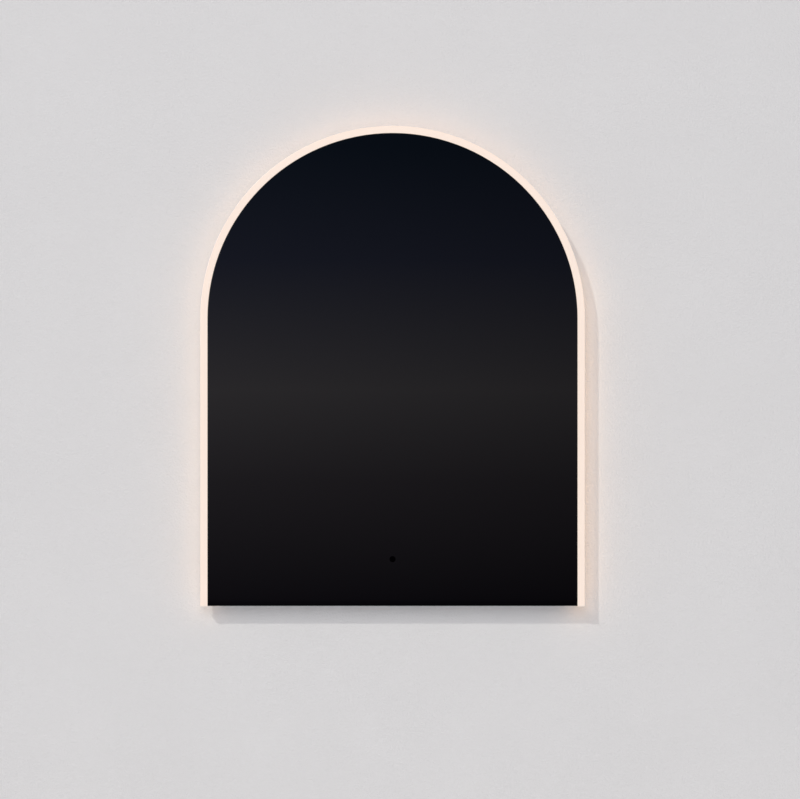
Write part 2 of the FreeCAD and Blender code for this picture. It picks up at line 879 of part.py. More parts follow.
def make_rivets():
    frame_grip = value("frame_wall + cross_wall")
    hanger_grip = value("hanger_wall + cross_wall")
    rivets = [rivet(place(x, "frame_gap", height), OUT, frame_grip) for x, height in cross_rivet_places()]
    for side in (-1, 1):
        for x, height in hanger_rivet_places(side):
            rivets.append(rivet(place(x, "lip_front - hanger_wall", height), OUT, hanger_grip))
    group("cross_rail_rivets", rivets)


# ---- gear plate: a shallow folded tray across the frame, which carries the electrical parts

def gear_screw_places():
    """Where each end of the plate is screwed to the frame's rear web: depth and height."""
    return [("gear_screw_depth", "gear_middle")]


def make_gear_plate():
    plate = new_body("gear_plate")
    half = "web_inner - fit_gap"
    back = "gear_floor - gear_flange"
    channel = [
        ("gear_front", "gear_low"),
        ("gear_front", "gear_low + gear_height"),
        (back, "gear_low + gear_height"),
        (back, "gear_low + gear_height - gear_wall"),
        ("gear_floor", "gear_low + gear_height - gear_wall"),
        ("gear_floor", "gear_low + gear_wall"),
        (back, "gear_low + gear_wall"),
        (back, "gear_low"),
    ]
    pad(plate, "channel", "side", "0", [channel], f"2 * ({half})", both_ways=True)
    end = rectangle("gear_front - gear_end_height", "gear_low", "gear_front", "gear_low + gear_height")
    holes = [hole(depth, height, "screw_radius") for depth, height in gear_screw_places()]
    pad(plate, "end", "side", f"{half} - gear_wall", [end] + holes, "gear_wall")
    mirror_copy(plate, [plate.Tip])


def make_gear_screws():
    grip = value("gear_wall + fit_gap + frame_wall")
    screws = []
    for side in (-1, 1):
        for depth, height in gear_screw_places():
            seat = place(f"{side} * (web_inner - fit_gap - gear_wall)", depth, height)
            screws.append(screw(seat, X * side, grip))
    group("gear_plate_screws", screws)


# ---- lamp driver: a flat case with a screwing ear at each end, and its lid

def make_driver():
    case = new_body("driver_case")
    low = "gear_middle - driver_height / 2"
    high = "gear_middle + driver_height / 2"
    body_outline = rectangle("driver_left", low, "driver_right", high)
    pad(case, "case", "front", "gear_floor - driver_depth", [body_outline], "driver_depth")
    dress(case, "Fillet", "rim_wall", lambda edge: runs_along(edge, Y))
    ear_low = "gear_middle - driver_height / 4"
    ear_high = "gear_middle + driver_height / 4"
    ears = [
        rectangle("driver_left - driver_ear", ear_low, "driver_left + overlap", ear_high),
        rectangle("driver_right - overlap", ear_low, "driver_right + driver_ear", ear_high),
    ]
    for name, ear in zip(("left_ear", "right_ear"), ears):
        pad(case, name, "front", "gear_floor - driver_ear_wall", [ear], "driver_ear_wall")
    holes = [hole(x, "gear_middle", "screw_radius") for x in driver_screw_places()]
    cut(case, "ear_holes", "front", "gear_floor - driver_ear_wall", holes, "driver_ear_wall")
    lid = new_body("driver_lid")
    back = "gear_floor - driver_depth - driver_lid"
    pad(lid, "lid", "front", back, [body_outline], "driver_lid")
    dress(lid, "Fillet", "rim_wall", lambda edge: runs_along(edge, Y))


def driver_screw_places():
    return "driver_left - driver_ear / 2", "driver_right + driver_ear / 2"


# ---- terminal box, its lid and the terminal block inside it

def make_terminal_box():
    base = new_body("terminal_box")
    low = "gear_middle - box_height / 2"
    outline = rectangle("box_left", low, "box_right", "box_upper")
    pad(base, "shell", "front", "box_back", [outline], "box_depth")
    dress(base, "Fillet", "box_corner", lambda edge: runs_along(edge, Y))
    inside = rectangle(
        "box_left + box_wall", f"{low} + box_wall", "box_right - box_wall", "box_upper - box_wall"
    )
    cut(base, "inside", "front", "box_back", [inside], "box_depth - box_wall")
    half = "(screw_head + fit_gap)"
    for index, (x, height) in enumerate(lid_screw_places()):
        post = rectangle(f"{x} - {half}", f"{height} - {half}", f"{x} + {half}", f"{height} + {half}")
        pad(base, f"post_{index}", "front", "box_back", [post], "box_depth - box_wall / 2")
    holes = [hole(x, height, "screw_radius") for x, height in lid_screw_places()]
    cut(base, "post_holes", "front", "box_back", holes, "box_depth / 2")
    entry = hole("box_middle", "gear_middle", "gland_thread", GLAND_SIDES)
    cut(base, "gland_hole", "side", "box_left", [entry], "box_wall")
    lid = new_body("terminal_box_lid")
    pad(lid, "lid", "front", "box_back - box_lid", [outline], "box_lid")
    dress(lid, "Fillet", "box_corner", lambda edge: runs_along(edge, Y))
    cut(lid, "screw_holes", "front", "box_back - box_lid", holes, "box_lid")
    block = new_body("terminal_block")
    block_outline = rectangle(
        "box_x - block_length / 2",
        "gear_middle - block_height / 2",
        "box_x + block_length / 2",
        "gear_middle + block_height / 2",
    )
    pad(block, "block", "front", "gear_floor - box_wall - block_depth", [block_outline], "block_depth")
    wells = []
    for step in (-1, 0, 1):
        middle = f"box_x + {step} * block_length / 3"
        left, right = f"{middle} - screw_head", f"{middle} + screw_head"
        wells.append(rectangle(left, "gear_middle - screw_head", right, "gear_middle + screw_head"))
    cut(block, "screw_wells", "front", "gear_floor - box_wall - block_depth", wells, "block_depth / 2")


def lid_screw_places():
    """Two screws in opposite corners of the lid."""
    inset = "(box_wall + screw_head + fit_gap)"
    return [
        (f"box_left + {inset}", f"gear_middle - box_height / 2 + {inset}"),
        (f"box_right - {inset}", f"box_upper - {inset}"),
    ]


def make_small_screws():
    grip = value("driver_ear_wall")
    seats = [place(x, "gear_floor - driver_ear_wall", "gear_middle") for x in driver_screw_places()]
    group("driver_screws", [screw(seat, OUT, grip) for seat in seats])
    grip = value("box_lid + box_depth / 2 - fit_gap")
    lids = [screw(place(x, "box_back - box_lid", height), OUT, grip) for x, height in lid_screw_places()]
    group("box_lid_screws", lids)


# ---- cable gland: body, clamping nut and the rubber seal between them, all bored for the cable

def make_gland():
    entry = place("box_left", "box_middle", "gear_middle")
    bore = value("cable_radius")
    collar = value("gland_collar_radius")
    hex_corner = value("gland_hex") / math.sqrt(3)
    hex_length = value("gland_hex_length")
    collar_length = value("gland_collar_length")
    spigot = value("gland_spigot")
    nut_length = value("gland_nut_length")
    front = value("gland_nut_front")
    gap = value("fit_gap")

    def sleeve(start, length, radius, sides=GLAND_SIDES, end_radius=None):
        """A piece on the gland's axis, its start measured out from the box's wall."""
        return prism(entry - X * start, -X, radius, length, sides, end_radius)

    def bored(shape, start, length):
        """The piece with the round way for the cable cut through it."""
        way_through = Part.makeCylinder(bore, length, entry - X * start, -X)
        return shape.cut(way_through).removeSplitter()

    body = sleeve(0, hex_length, hex_corner, 6).fuse(sleeve(hex_length, collar_length, collar))
    body = body.fuse(sleeve(-spigot, spigot, value("gland_thread - fit_gap")))
    shape_part("cable_gland", bored(body, -spigot, spigot + hex_length + collar_length))
    nut_start = hex_length + gap
    dome_start = nut_start + nut_length - front
    nut = sleeve(nut_start, nut_length - front, hex_corner, 6)
    nut = nut.cut(sleeve(nut_start, nut_length - front, collar + gap))
    nut = nut.fuse(sleeve(dome_start, front, hex_corner, 6, hex_corner - front))
    shape_part("gland_nut", bored(nut, nut_start, nut_length))
    seal_start = hex_length + collar_length
    seal_length = dome_start - seal_start
    shape_part("gland_seal", bored(sleeve(seal_start, seal_length, collar), seal_start, seal_length))


# ---- touch sensor behind the glass, and the demister pad with the cover over its joint

def make_sensor():
    sensor = new_body("touch_sensor")
    half = "sensor_width / 2"
    low = "sensor_middle - sensor_height / 2"
    outline = rectangle(minus(half), low, half, "sensor_middle + sensor_height / 2")
    pad(sensor, "case", "front", "sensor_front - sensor_depth", [outline], "sensor_depth")
    dress(sensor, "Fillet", "rim_wall", lambda edge: runs_along(edge, Y))
    cushion = new_body("sensor_pad")
    reach_out = "sensor_height / 3"
    square = rectangle(
        minus(reach_out), f"sensor_middle - {reach_out}", reach_out, f"sensor_middle + {reach_out}"
    )
    pad(cushion, "pad", "front", "sensor_front", [square], "sensor_pad")


def make_demister():
    pad_body = new_body("demister_pad")
    half = "demister_width / 2"
    high = "demister_middle + demister_height / 2"
    film = rectangle(minus(half), "demister_low", half, high)
    pad(pad_body, "film", "front", "demister_back", [film], "demister_thickness")
    cover = new_body("demister_joint_cover")
    left = "joint_x - joint_cover_width / 2"
    right = "joint_x + joint_cover_width / 2"
    shape = rectangle(left, "demister_low", right, "demister_low + joint_cover_height")
    pad(cover, "cover", "front", "demister_back - joint_cover_depth", [shape], "joint_cover_depth")


# ---- leads, the grommet where one enters the frame, and the clips that hold them

def route(start, finish, shares):
    """The points between two ends, each given as its share of the way in x, in depth and in height."""
    step = finish - start
    between = [start + vector(step.x * x, step.y * depth, step.z * height) for x, depth, height in shares]
    return [start, *between, finish]


def lamp_lead_route():
    """Out of the driver, down in a loose curve and level through the frame's leg."""
    start = place("driver_right", "box_middle", "gear_middle - lamp_lead_drop")
    finish = place("rim_inner - lamp_web_inset", "chamber_middle", "lamp_lead_height")
    bends = [(0.14, 0, 0), (0.29, 0.13, 0.22), (0.41, 0.25, 0.58), (0.54, 0.75, 0.92), (0.69, 1, 1)]
    return route(start, finish, bends)


def sensor_lead_route():
    start = place("0", "sensor_front - sensor_depth / 2", "sensor_middle + sensor_height / 2")
    finish = place("0", "box_middle", "gear_middle - driver_height / 2")
    return route(start, finish, [(0, 0, 0.23), (1, 1, 0.6)])


def demister_lead_route():
    start = place("box_x", "box_middle", "box_upper")
    finish = place("joint_x", "demister_back - joint_cover_depth / 2", "demister_low")
    return route(start, finish, [(0, 0, 0.25), (1, 1, 0.68)])


def clip(point, way, diameter):
    """A saddle that stands on the glass's back and closes round a lead."""
    wall = value("clip_wall")
    half = diameter / 2 + wall
    length = value("clip_length")
    base = -value("glass_back")
    across = way.cross(Y)
    start = point - way * (length / 2)
    saddle = prism(start, way, half, length, CLIP_SIDES)
    corner = start - across * half
    edges = [corner, corner + across * 2 * half]
    low = [vector(item.x, base, item.z) for item in edges]
    outline = Part.makePolygon([edges[0], edges[1], low[1], low[0], edges[0]])
    foot = Part.Face(outline).extrude(way * length)
    way_through = Part.makeCylinder(diameter / 2, length, start, way)
    return saddle.fuse(foot).cut(way_through).removeSplitter()


def make_leads():
    lamp_route = lamp_lead_route()
    sensor_route = sensor_lead_route()
    lead("lamp_lead", lamp_route, value("lamp_lead"))
    lead("sensor_lead", sensor_route, value("small_lead"))
    lead("demister_lead", demister_lead_route(), value("small_lead"))
    box_end = place("box_right", "box_middle", "gear_middle")
    driver_end = place("driver_left", "box_middle", "gear_middle")
    lead("mains_jumper", [box_end, driver_end], value("mains_lead"))
    level_run = (lamp_route[-2].x + value("web_inner")) / 2
    lamp_clip = vector(level_run, lamp_route[-1].y, lamp_route[-1].z)
    sensor_clip = sensor_route[0] + Z * value("clip_length")
    clips = [
        clip(lamp_clip, X, value("lamp_lead")),
        clip(sensor_clip, Z, value("small_lead")),
    ]
    group("lead_clips", clips)
    make_grommet()


def make_grommet():
    centre = place("web_inner", "chamber_middle", "lamp_lead_height")
    flange = value("grommet_flange")
    wall = value("frame_wall")
    radius = value("grommet_radius")
    neck = prism(centre, X, radius, wall, GROMMET_SIDES)
    collar = prism(centre - X * flange, X, radius + flange, flange, GROMMET_SIDES)
    way_through = Part.makeCylinder(value("lamp_lead / 2"), flange + wall, centre - X * flange, X)
    shape_part("lead_grommet", neck.fuse(collar).cut(way_through).removeSplitter())


# ---- rubber bumpers that keep the frame off the wall

def make_bumpers():
    radius = value("bumper_radius")
    ring = value("lip_middle")
    leg_height = value("(gear_low + lower_web) / 2")
    spots = [(side * ring, leg_height) for side in (-1, 1)]
    for turn in (45, 135):
        angle = math.radians(turn)
        spots.append((ring * math.cos(angle), value("arch_height") + ring * math.sin(angle)))
    height = value("frame_gap")
    small = radius * BUMPER_TAPER
    pads = [prism(vector(x, -height, z), Y, radius, height, BUMPER_SIDES, small) for x, z in spots]
    group("wall_bumpers", pads)


make_wall_rail()
make_glass()
make_tape()
make_rim()
make_rim_screws()
make_end_cap("end_cap_left", -1)
make_end_cap("end_cap_right", 1)
make_frame()
make_bottom_rail()
make_corner_bracket("corner_bracket_left", -1)
make_corner_bracket("corner_bracket_right", 1)
make_corner_screws()
make_lamp_strip()
make_upper_cross_rail()
make_hanger("hanger_left", -1)
make_hanger("hanger_right", 1)
make_rivets()
make_gear_plate()
make_gear_screws()
make_driver()
make_terminal_box()
make_small_screws()
make_gland()
make_sensor()
make_demister()
make_leads()
make_bumpers()
doc.recompute()

NODE_TYPES = ("PartDesign::Body", "Part::Feature", "Part::Fuse")
STRIP_PIECES = ("strip_circuit", "strip_lamps")
nodes = [
    item for item in doc.Objects if item.TypeId in NODE_TYPES and item.Label not in STRIP_PIECES
]
for item in doc.Objects:
    if "Invalid" in item.State or "Error" in item.State:
        raise ValueError(f"{item.Label}: {item.State}")
for item in nodes:
    if item.Shape.isNull() or not item.Shape.isValid():
        raise ValueError(f"{item.Label}: its shape is not valid")

os.makedirs("parts", exist_ok=True)
for item in nodes:
    item.Shape.exportStep(f"parts/{item.Label}.step")
print(len(nodes), "sub-parts")
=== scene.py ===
import math

import bmesh
import bpy
from mathutils import Matrix, Vector


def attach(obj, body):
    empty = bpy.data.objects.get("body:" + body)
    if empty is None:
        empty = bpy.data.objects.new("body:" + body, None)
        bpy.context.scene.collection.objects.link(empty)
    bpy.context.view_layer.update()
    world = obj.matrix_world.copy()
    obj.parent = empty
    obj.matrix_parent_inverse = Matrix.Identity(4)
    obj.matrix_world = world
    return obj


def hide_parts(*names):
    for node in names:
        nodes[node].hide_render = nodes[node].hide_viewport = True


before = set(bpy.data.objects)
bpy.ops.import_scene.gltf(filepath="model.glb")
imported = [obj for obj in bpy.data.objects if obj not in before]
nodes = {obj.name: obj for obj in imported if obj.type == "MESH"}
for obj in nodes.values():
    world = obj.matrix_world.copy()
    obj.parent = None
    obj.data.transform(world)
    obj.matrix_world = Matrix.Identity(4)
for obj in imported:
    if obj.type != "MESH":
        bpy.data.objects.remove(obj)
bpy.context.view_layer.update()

# ---- The photograph's view: dead level and square to the wall, from about four metres away and a little
# right of the mirror's middle.

CAMERA_PLACE = (0.0155, -3.968, -0.1195)


def new_object(name, data):
    """An object that holds its data, linked into the scene."""
    made = bpy.data.objects.new(name, data)
    bpy.context.scene.collection.objects.link(made)
    return made


camera_data = bpy.data.cameras.new("camera")
camera_data.lens = 85.0
camera_data.sensor_width = 36.0
camera = new_object("camera", camera_data)
camera.location = CAMERA_PLACE
camera.rotation_euler = (math.radians(90), 0, 0)
bpy.context.scene.camera = camera
bpy.context.scene.view_settings.view_transform = "Standard"


# ---- Wall rail: one folded strip of zinc-plated steel, screwed flat to the wall through its two slots.
# Its upper lip is cranked forward so that the mirror's hangers drop in behind it.

CREASE = math.radians(32)
FLAT = math.radians(0.3)
WELD = 1e-6


def add(tree, kind, inputs=None, **settings):
    """Add a node: an input given as a socket is joined to it, and any other value is set."""
    made = tree.nodes.new(kind)
    for key, setting in settings.items():
        setattr(made, key, setting)
    for key, given in (inputs or {}).items():
        if isinstance(key, int):
            target = made.inputs[key]
        else:
            target = next(s for s in made.inputs if s.enabled and key in (s.identifier, s.name))
        if isinstance(given, bpy.types.NodeSocket):
            tree.links.new(given, target)
        else:
            target.default_value = given
    return made


def maths(tree, operation, *values):
    return add(tree, "ShaderNodeMath", dict(enumerate(values)), operation=operation).outputs[0]


def start_finish(name, roughness, metallic=0.0, **constants):
    """A material with its one Principled shader, ready for a pattern."""
    material = bpy.data.materials.new(name)
    material.use_nodes = True
    tree = material.node_tree
    tree.nodes.clear()
    settings = {"Roughness": roughness, "Metallic": metallic}
    settings.update({key.replace("_", " "): setting for key, setting in constants.items()})
    shader = add(tree, "ShaderNodeBsdfPrincipled", settings)
    add(tree, "ShaderNodeOutputMaterial", {"Surface": shader.outputs[0]})
    return material, tree, shader


def object_place(tree, stretch=None):
    """Object coordinates, multiplied by the stretch where one is given."""
    place = add(tree, "ShaderNodeTexCoord").outputs["Object"]
    if stretch is None:
        return place
    return add(tree, "ShaderNodeVectorMath", {0: place, 1: stretch}, operation="MULTIPLY").outputs[0]


def mottle(tree, place, scale, detail=4.0):
    return add(tree, "ShaderNodeTexNoise", {"Vector": place, "Scale": scale, "Detail": detail}).outputs[0]


def blend_colours(tree, factor, first, second):
    def four(colour):
        return colour if isinstance(colour, bpy.types.NodeSocket) else (*colour, 1.0)
    inputs = {"Factor_Float": factor, "A_Color": four(first), "B_Color": four(second)}
    return add(tree, "ShaderNodeMix", inputs, data_type="RGBA").outputs[2]


def remap(tree, factor, low, high, start=0.0, end=1.0):
    """A value that goes from low to high as the factor goes from start to end."""
    inputs = {"Value": factor, "From Min": start, "From Max": end, "To Min": low, "To Max": high}
    return add(tree, "ShaderNodeMapRange", inputs).outputs[0]


def raise_bump(tree, shader, height, distance):
    normal = add(tree, "ShaderNodeBump", {"Height": height, "Distance": distance, "Strength": 1.0})
    tree.links.new(normal.outputs[0], shader.inputs["Normal"])


def grained(name, dark, light, roughness, scale, stretch=None, relief=0.0, metallic=0.0):
    """A finish whose colour, sheen and relief all follow one fine grain."""
    low, high = roughness
    material, tree, shader = start_finish(name, low, metallic)
    grain = mottle(tree, object_place(tree, stretch), scale)
    factor = remap(tree, grain, 0.0, 1.0, start=0.3, end=0.7)
    tree.links.new(blend_colours(tree, factor, dark, light), shader.inputs["Base Color"])
    tree.links.new(remap(tree, factor, low, high), shader.inputs["Roughness"])
    if relief:
        raise_bump(tree, shader, grain, relief)
    return material


def plain_mesh(holder):
    """The evaluated mesh of an object, as plain data."""
    graph = bpy.context.evaluated_depsgraph_get()
    return bpy.data.meshes.new_from_object(holder.evaluated_get(graph))


def set_piece(node, mesh, material, body):
    """The finished piece that stands for a CAD node: its material, its crisp and its soft edges, and the
    body that it rides on. Its flat faces keep their own shade, and only its eased edges turn."""
    piece = new_object(node + "_shown", mesh)
    mesh.materials.clear()
    mesh.materials.append(material)
    mesh.shade_smooth()
    mesh.set_sharp_from_angle(angle=CREASE)
    weigh = piece.modifiers.new("weigh", "WEIGHTED_NORMAL")
    weigh.keep_sharp = True
    weigh.weight = 100
    piece.data = plain_mesh(piece)
    piece.modifiers.clear()
    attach(piece, body)
    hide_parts(node)


def made_mesh(name, shape):
    """A mesh from a worked shape, which it sets free."""
    mesh = bpy.data.meshes.new(name)
    shape.to_mesh(mesh)
    shape.free()
    return mesh


def round_edges(shape, edges, ease):
    bmesh.ops.bevel(
        shape, geom=edges, offset=ease, segments=2, profile=0.5, affect="EDGES", clamp_overlap=True
    )


def eased_copy(node, ease):
    """A copy of a CAD node's mesh, joined up, with its sharp edges rounded over."""
    bare = bpy.data.meshes.new(node + "_bare")
    source = nodes[node].data
    bare.from_pydata([v.co for v in source.vertices], [], [p.vertices[:] for p in source.polygons])
    shape = bmesh.new()
    shape.from_mesh(bare)
    bmesh.ops.remove_doubles(shape, verts=shape.verts, dist=WELD)
    if ease:
        bmesh.ops.dissolve_limit(shape, angle_limit=FLAT, verts=shape.verts, edges=shape.edges)
        sharp = [e for e in shape.edges if e.is_manifold and e.calc_face_angle(0.0) > CREASE]
        round_edges(shape, sharp, ease)
    return made_mesh(node + "_eased", shape)


def ease_node(node, ease, material, body):
    """Show a CAD node with its edges rounded over, under a material of its own."""
    set_piece(node, eased_copy(node, ease), material, body)


zinc = grained(
    "zinc_plated_steel", (0.36, 0.37, 0.39), (0.46, 0.47, 0.49), (0.34, 0.46),
    scale=420.0, stretch=(0.12, 1, 1), relief=0.00003, metallic=0.85,
)
ease_node("wall_rail", 0.0005, zinc, "wall_rail")


# ---- Light frame: an aluminium profile with a closed chamber, roll-bent round the arch, with a straight
# aluminium rail across its foot. Two folded steel angles and four screws join them.

SIDES = (-1, 1)
ARCH_HEIGHT = 0.050
FRAME_MIDDLE = 0.37
WEB_INNER = 0.359
LOWER_WEB = -0.523
BRACKET_DEPTH = 0.0162
BRACKET_SHEET = 0.002
BRACKET_HOLE = 0.0125
SCREW_HEAD, SCREW_HIGH, SCREW_SHANK = 0.0023, 0.0017, 0.00125
SCREW_POINT = 0.0005


def split(tree, vector):
    return add(tree, "ShaderNodeSeparateXYZ", {0: vector}).outputs


def hypotenuse(tree, first, second):
    squares = [maths(tree, "MULTIPLY", side, side) for side in (first, second)]
    return maths(tree, "SQRT", maths(tree, "ADD", *squares))


def arch_radius(tree, x, z):
    """The distance from the arch's centre, or beside the legs from their middle line, and how far z is
    above that centre."""
    above = maths(tree, "MAXIMUM", maths(tree, "SUBTRACT", z, ARCH_HEIGHT), 0.0)
    return hypotenuse(tree, x, above), above


def along_arch(tree, across, along):
    """Coordinates that follow the arch: its radius and depth, and the way along it in metres, each with
    its own stretch."""
    x, y, z = split(tree, object_place(tree))
    radius, above = arch_radius(tree, x, z)
    turn = maths(tree, "ARCTAN2", above, x)
    arc = maths(tree, "MULTIPLY", turn, FRAME_MIDDLE)
    run = maths(tree, "ADD", arc, maths(tree, "MINIMUM", z, ARCH_HEIGHT))
    inputs = {
        0: maths(tree, "MULTIPLY", radius, across),
        1: maths(tree, "MULTIPLY", y, across),
        2: maths(tree, "MULTIPLY", run, along),
    }
    return add(tree, "ShaderNodeCombineXYZ", inputs).outputs[0]


def mill_finish(name, lie):
    """Drawn aluminium: long die lines that follow the profile, under a faint bloom."""
    material, tree, shader = start_finish(name, roughness=0.34, metallic=0.9)
    lines = mottle(tree, lie(tree), scale=900.0, detail=2.0)
    bloom = mottle(tree, object_place(tree), scale=14.0, detail=3.0)
    tone = maths(tree, "ADD", maths(tree, "MULTIPLY", lines, 0.6), maths(tree, "MULTIPLY", bloom, 0.4))
    factor = remap(tree, tone, 0.0, 1.0, start=0.35, end=0.65)
    colour = blend_colours(tree, factor, (0.37, 0.38, 0.39), (0.48, 0.49, 0.49))
    tree.links.new(colour, shader.inputs["Base Color"])
    tree.links.new(remap(tree, factor, 0.46, 0.36), shader.inputs["Roughness"])
    raise_bump(tree, shader, lines, distance=0.00003)
    return material


aluminium = mill_finish("drawn_arch_aluminium", lambda tree: along_arch(tree, 1.0, 0.02))
rail_aluminium = mill_finish("drawn_rail_aluminium", lambda tree: object_place(tree, (0.02, 1.0, 1.0)))
ease_node("light_frame", 0.0, aluminium, "mirror")
ease_node("bottom_rail", 0.0003, rail_aluminium, "mirror")
for node in ("corner_bracket_left", "corner_bracket_right"):
    ease_node(node, 0.0005, zinc, "mirror")


def turned(name, outline, sides):
    """A turned piece on the Z axis, from its outline of radius and height, top to bottom. An outline
    that keeps off the axis closes on itself as a ring."""
    shape = bmesh.new()
    rings = []
    for radius, height in outline:
        if radius == 0:
            rings.append([shape.verts.new((0, 0, height))])
            continue
        turns = [2 * math.pi * step / sides for step in range(sides)]
        rings.append([shape.verts.new((radius * math.cos(a), radius * math.sin(a), height)) for a in turns])
    bands = list(zip(rings, rings[1:]))
    if outline[0][0] > 0:
        bands.append((rings[-1], rings[0]))
    for upper, lower in bands:
        for step in range(sides):
            after = (step + 1) % sides
            if len(upper) == 1:
                shape.faces.new((upper[0], lower[step], lower[after]))
            elif len(lower) == 1:
                shape.faces.new((upper[step], lower[0], upper[after]))
            else:
                shape.faces.new((upper[step], lower[step], lower[after], upper[after]))
    bmesh.ops.recalc_face_normals(shape, faces=shape.faces)
    return made_mesh(name, shape)


def box_mesh(name, size, centre, turn=0.0, ease=0.0):
    """A block with eased edges, turned about its upright."""
    shape = bmesh.new()
    bmesh.ops.create_cube(shape, size=1.0)
    bmesh.ops.scale(shape, vec=size, verts=shape.verts)
    if ease:
        round_edges(shape, shape.edges[:], ease)
    placed = Matrix.Translation(centre) @ Matrix.Rotation(turn, 4, "Z")
    bmesh.ops.transform(shape, matrix=placed, verts=shape.verts)
    return made_mesh(name, shape)


def screw_blank(grip):
    """A pan-head screw with a cross recess, its head on the origin and its shank down -Z."""
    head, high, shank = SCREW_HEAD, SCREW_HIGH, SCREW_SHANK
    outline = [(0, high), (head * 0.55, high), (head * 0.82, high * 0.82), (head, high * 0.42), (head, 0)]
    outline += [(shank, 0), (shank, -grip + SCREW_POINT), (shank * 0.6, -grip), (0, -grip)]
    blank = new_object("screw_blank", turned("screw_blank", outline, sides=20))
    blade = (head * 1.1, head * 0.26, high)
    bits = [new_object("bit", box_mesh("bit", blade, (0, 0, high), turn)) for turn in (0.0, math.pi / 2)]
    for bit in bits:
        recess = blank.modifiers.new("recess", "BOOLEAN")
        recess.object = bit
        recess.operation = "DIFFERENCE"
        recess.solver = "EXACT"
    blank.data = plain_mesh(blank)
    blank.modifiers.clear()
    for bit in bits:
        bpy.data.objects.remove(bit)
    return blank


def start_tree(name, **inputs):
    """A Geometry Nodes tree with its named inputs, and the sockets that they give."""
    tree = bpy.data.node_groups.new(name, "GeometryNodeTree")
    face = tree.interface
    face.new_socket("Geometry", in_out="INPUT", socket_type="NodeSocketGeometry")
    face.new_socket("Geometry", in_out="OUTPUT", socket_type="NodeSocketGeometry")
    for label, kind in inputs.items():
        face.new_socket(label.replace("_", " "), in_out="INPUT", socket_type="NodeSocket" + kind)
    given = {s.name: s for s in tree.nodes.new("NodeGroupInput").outputs if s.name}
    return tree, given


def end_tree(tree, geometry, material):
    whole = add(tree, "GeometryNodeRealizeInstances", {0: geometry}).outputs[0]
    painted = add(tree, "GeometryNodeSetMaterial", {"Geometry": whole, "Material": material}).outputs[0]
    add(tree, "NodeGroupOutput", {0: painted})


def station_value(tree, name, kind):
    return add(tree, "GeometryNodeInputNamedAttribute", {"Name": name}, data_type=kind).outputs[0]


def fixing_tree():
    """One fixing at each station, its head facing the station's heading."""
    tree, given = start_tree("fixings", Fixing="Object", Finish="Material")
    heading = station_value(tree, "heading", "FLOAT_VECTOR")
    turn = station_value(tree, "turn", "FLOAT")
    aimed = add(tree, "FunctionNodeAlignRotationToVector", {"Vector": heading}, axis="Z").outputs[0]
    spun = add(tree, "FunctionNodeAxisAngleToRotation", {"Axis": (0, 0, 1), "Angle": turn}).outputs[0]
    facing = add(
        tree, "FunctionNodeRotateRotation", {"Rotation": aimed, "Rotate By": spun}, rotation_space="LOCAL"
    ).outputs[0]
    shape = add(tree, "GeometryNodeObjectInfo", {"Object": given["Fixing"]}).outputs["Geometry"]
    inputs = {"Points": given["Geometry"], "Instance": shape, "Rotation": facing}
    placed = add(tree, "GeometryNodeInstanceOnPoints", inputs).outputs[0]
    end_tree(tree, placed, given["Finish"])
    return tree


def grow(name, mesh, tree, **inputs):
    """The plain mesh that a tree makes from a mesh, its inputs set by their identifiers."""
    holder = new_object(name, mesh)
    modifier = holder.modifiers.new("grow", "NODES")
    modifier.node_group = tree
    for item in tree.interface.items_tree:
        label = item.name.replace(" ", "_")
        if item.in_out == "INPUT" and label in inputs:
            modifier[item.identifier] = inputs[label]
    result = plain_mesh(holder)
    holder.modifiers.clear()
    bpy.data.objects.remove(holder)
    return result


FIXINGS = fixing_tree()
FIRST_TURN, TURN_GROWTH = 0.3, 0.9


def set_fixings(node, stations, blank, material):
    """A group of like fixings. Each station is a place and the way that the head faces, and no two heads
    stand at the same turn, as when they are driven by hand."""
    mesh = bpy.data.meshes.new(node + "_stations")
    mesh.from_pydata([place for place, _ in stations], [], [])
    mesh.attributes.new("heading", "FLOAT_VECTOR", "POINT").data.foreach_set(
        "vector", [part for _, way in stations for part in way]
    )
    mesh.attributes.new("turn", "FLOAT", "POINT").data.foreach_set(
        "value", [TURN_GROWTH * index * index + FIRST_TURN for index in range(len(stations))]
    )
    shape = grow(node, mesh, FIXINGS, Fixing=blank, Finish=material)
    bpy.data.objects.remove(blank)
    set_piece(node, shape, material, "mirror")


def at(x, depth, height):
    """A point from its x, its distance out from the wall, and its height."""
    return (x, -depth, height)


bright_zinc = grained(
    "bright_zinc_screws", (0.55, 0.56, 0.58), (0.76, 0.77, 0.78), (0.18, 0.34),
    scale=700.0, metallic=0.9,
)
corner_stations = []
for side in SIDES:
    beside_web = at(side * (WEB_INNER - BRACKET_SHEET), BRACKET_DEPTH, LOWER_WEB + BRACKET_HOLE)
    over_rail = at(side * (WEB_INNER - BRACKET_HOLE), BRACKET_DEPTH, LOWER_WEB + BRACKET_SHEET)
    corner_stations += [(beside_web, (-side, 0, 0)), (over_rail, (0, 0, 1))]
set_fixings("corner_screws", corner_stations, screw_blank(grip=0.0035), bright_zinc)


# ---- Upper cross rail and hangers: an aluminium channel riveted across the frame's lip, and two folded
# steel hangers riveted to it, which hook over the wall rail. Blind rivets hold them all.

REARWARD = (0, 1, 0)
LIP_INNER = 0.347
CROSS_LOW, CROSS_HIGH = 0.016, 0.056
CROSS_RAIL_HALF = 0.35875
CROSS_RAIL_BACK = 0.0055
HANGER_X = 0.150
LEAF_REACH = 0.015
LEAF_BACK = 0.005
LEAF_MIDDLE = 0.0412
RIVET_HEAD, RIVET_HIGH, RIVET_RADIUS = 0.0035, 0.0011, 0.002

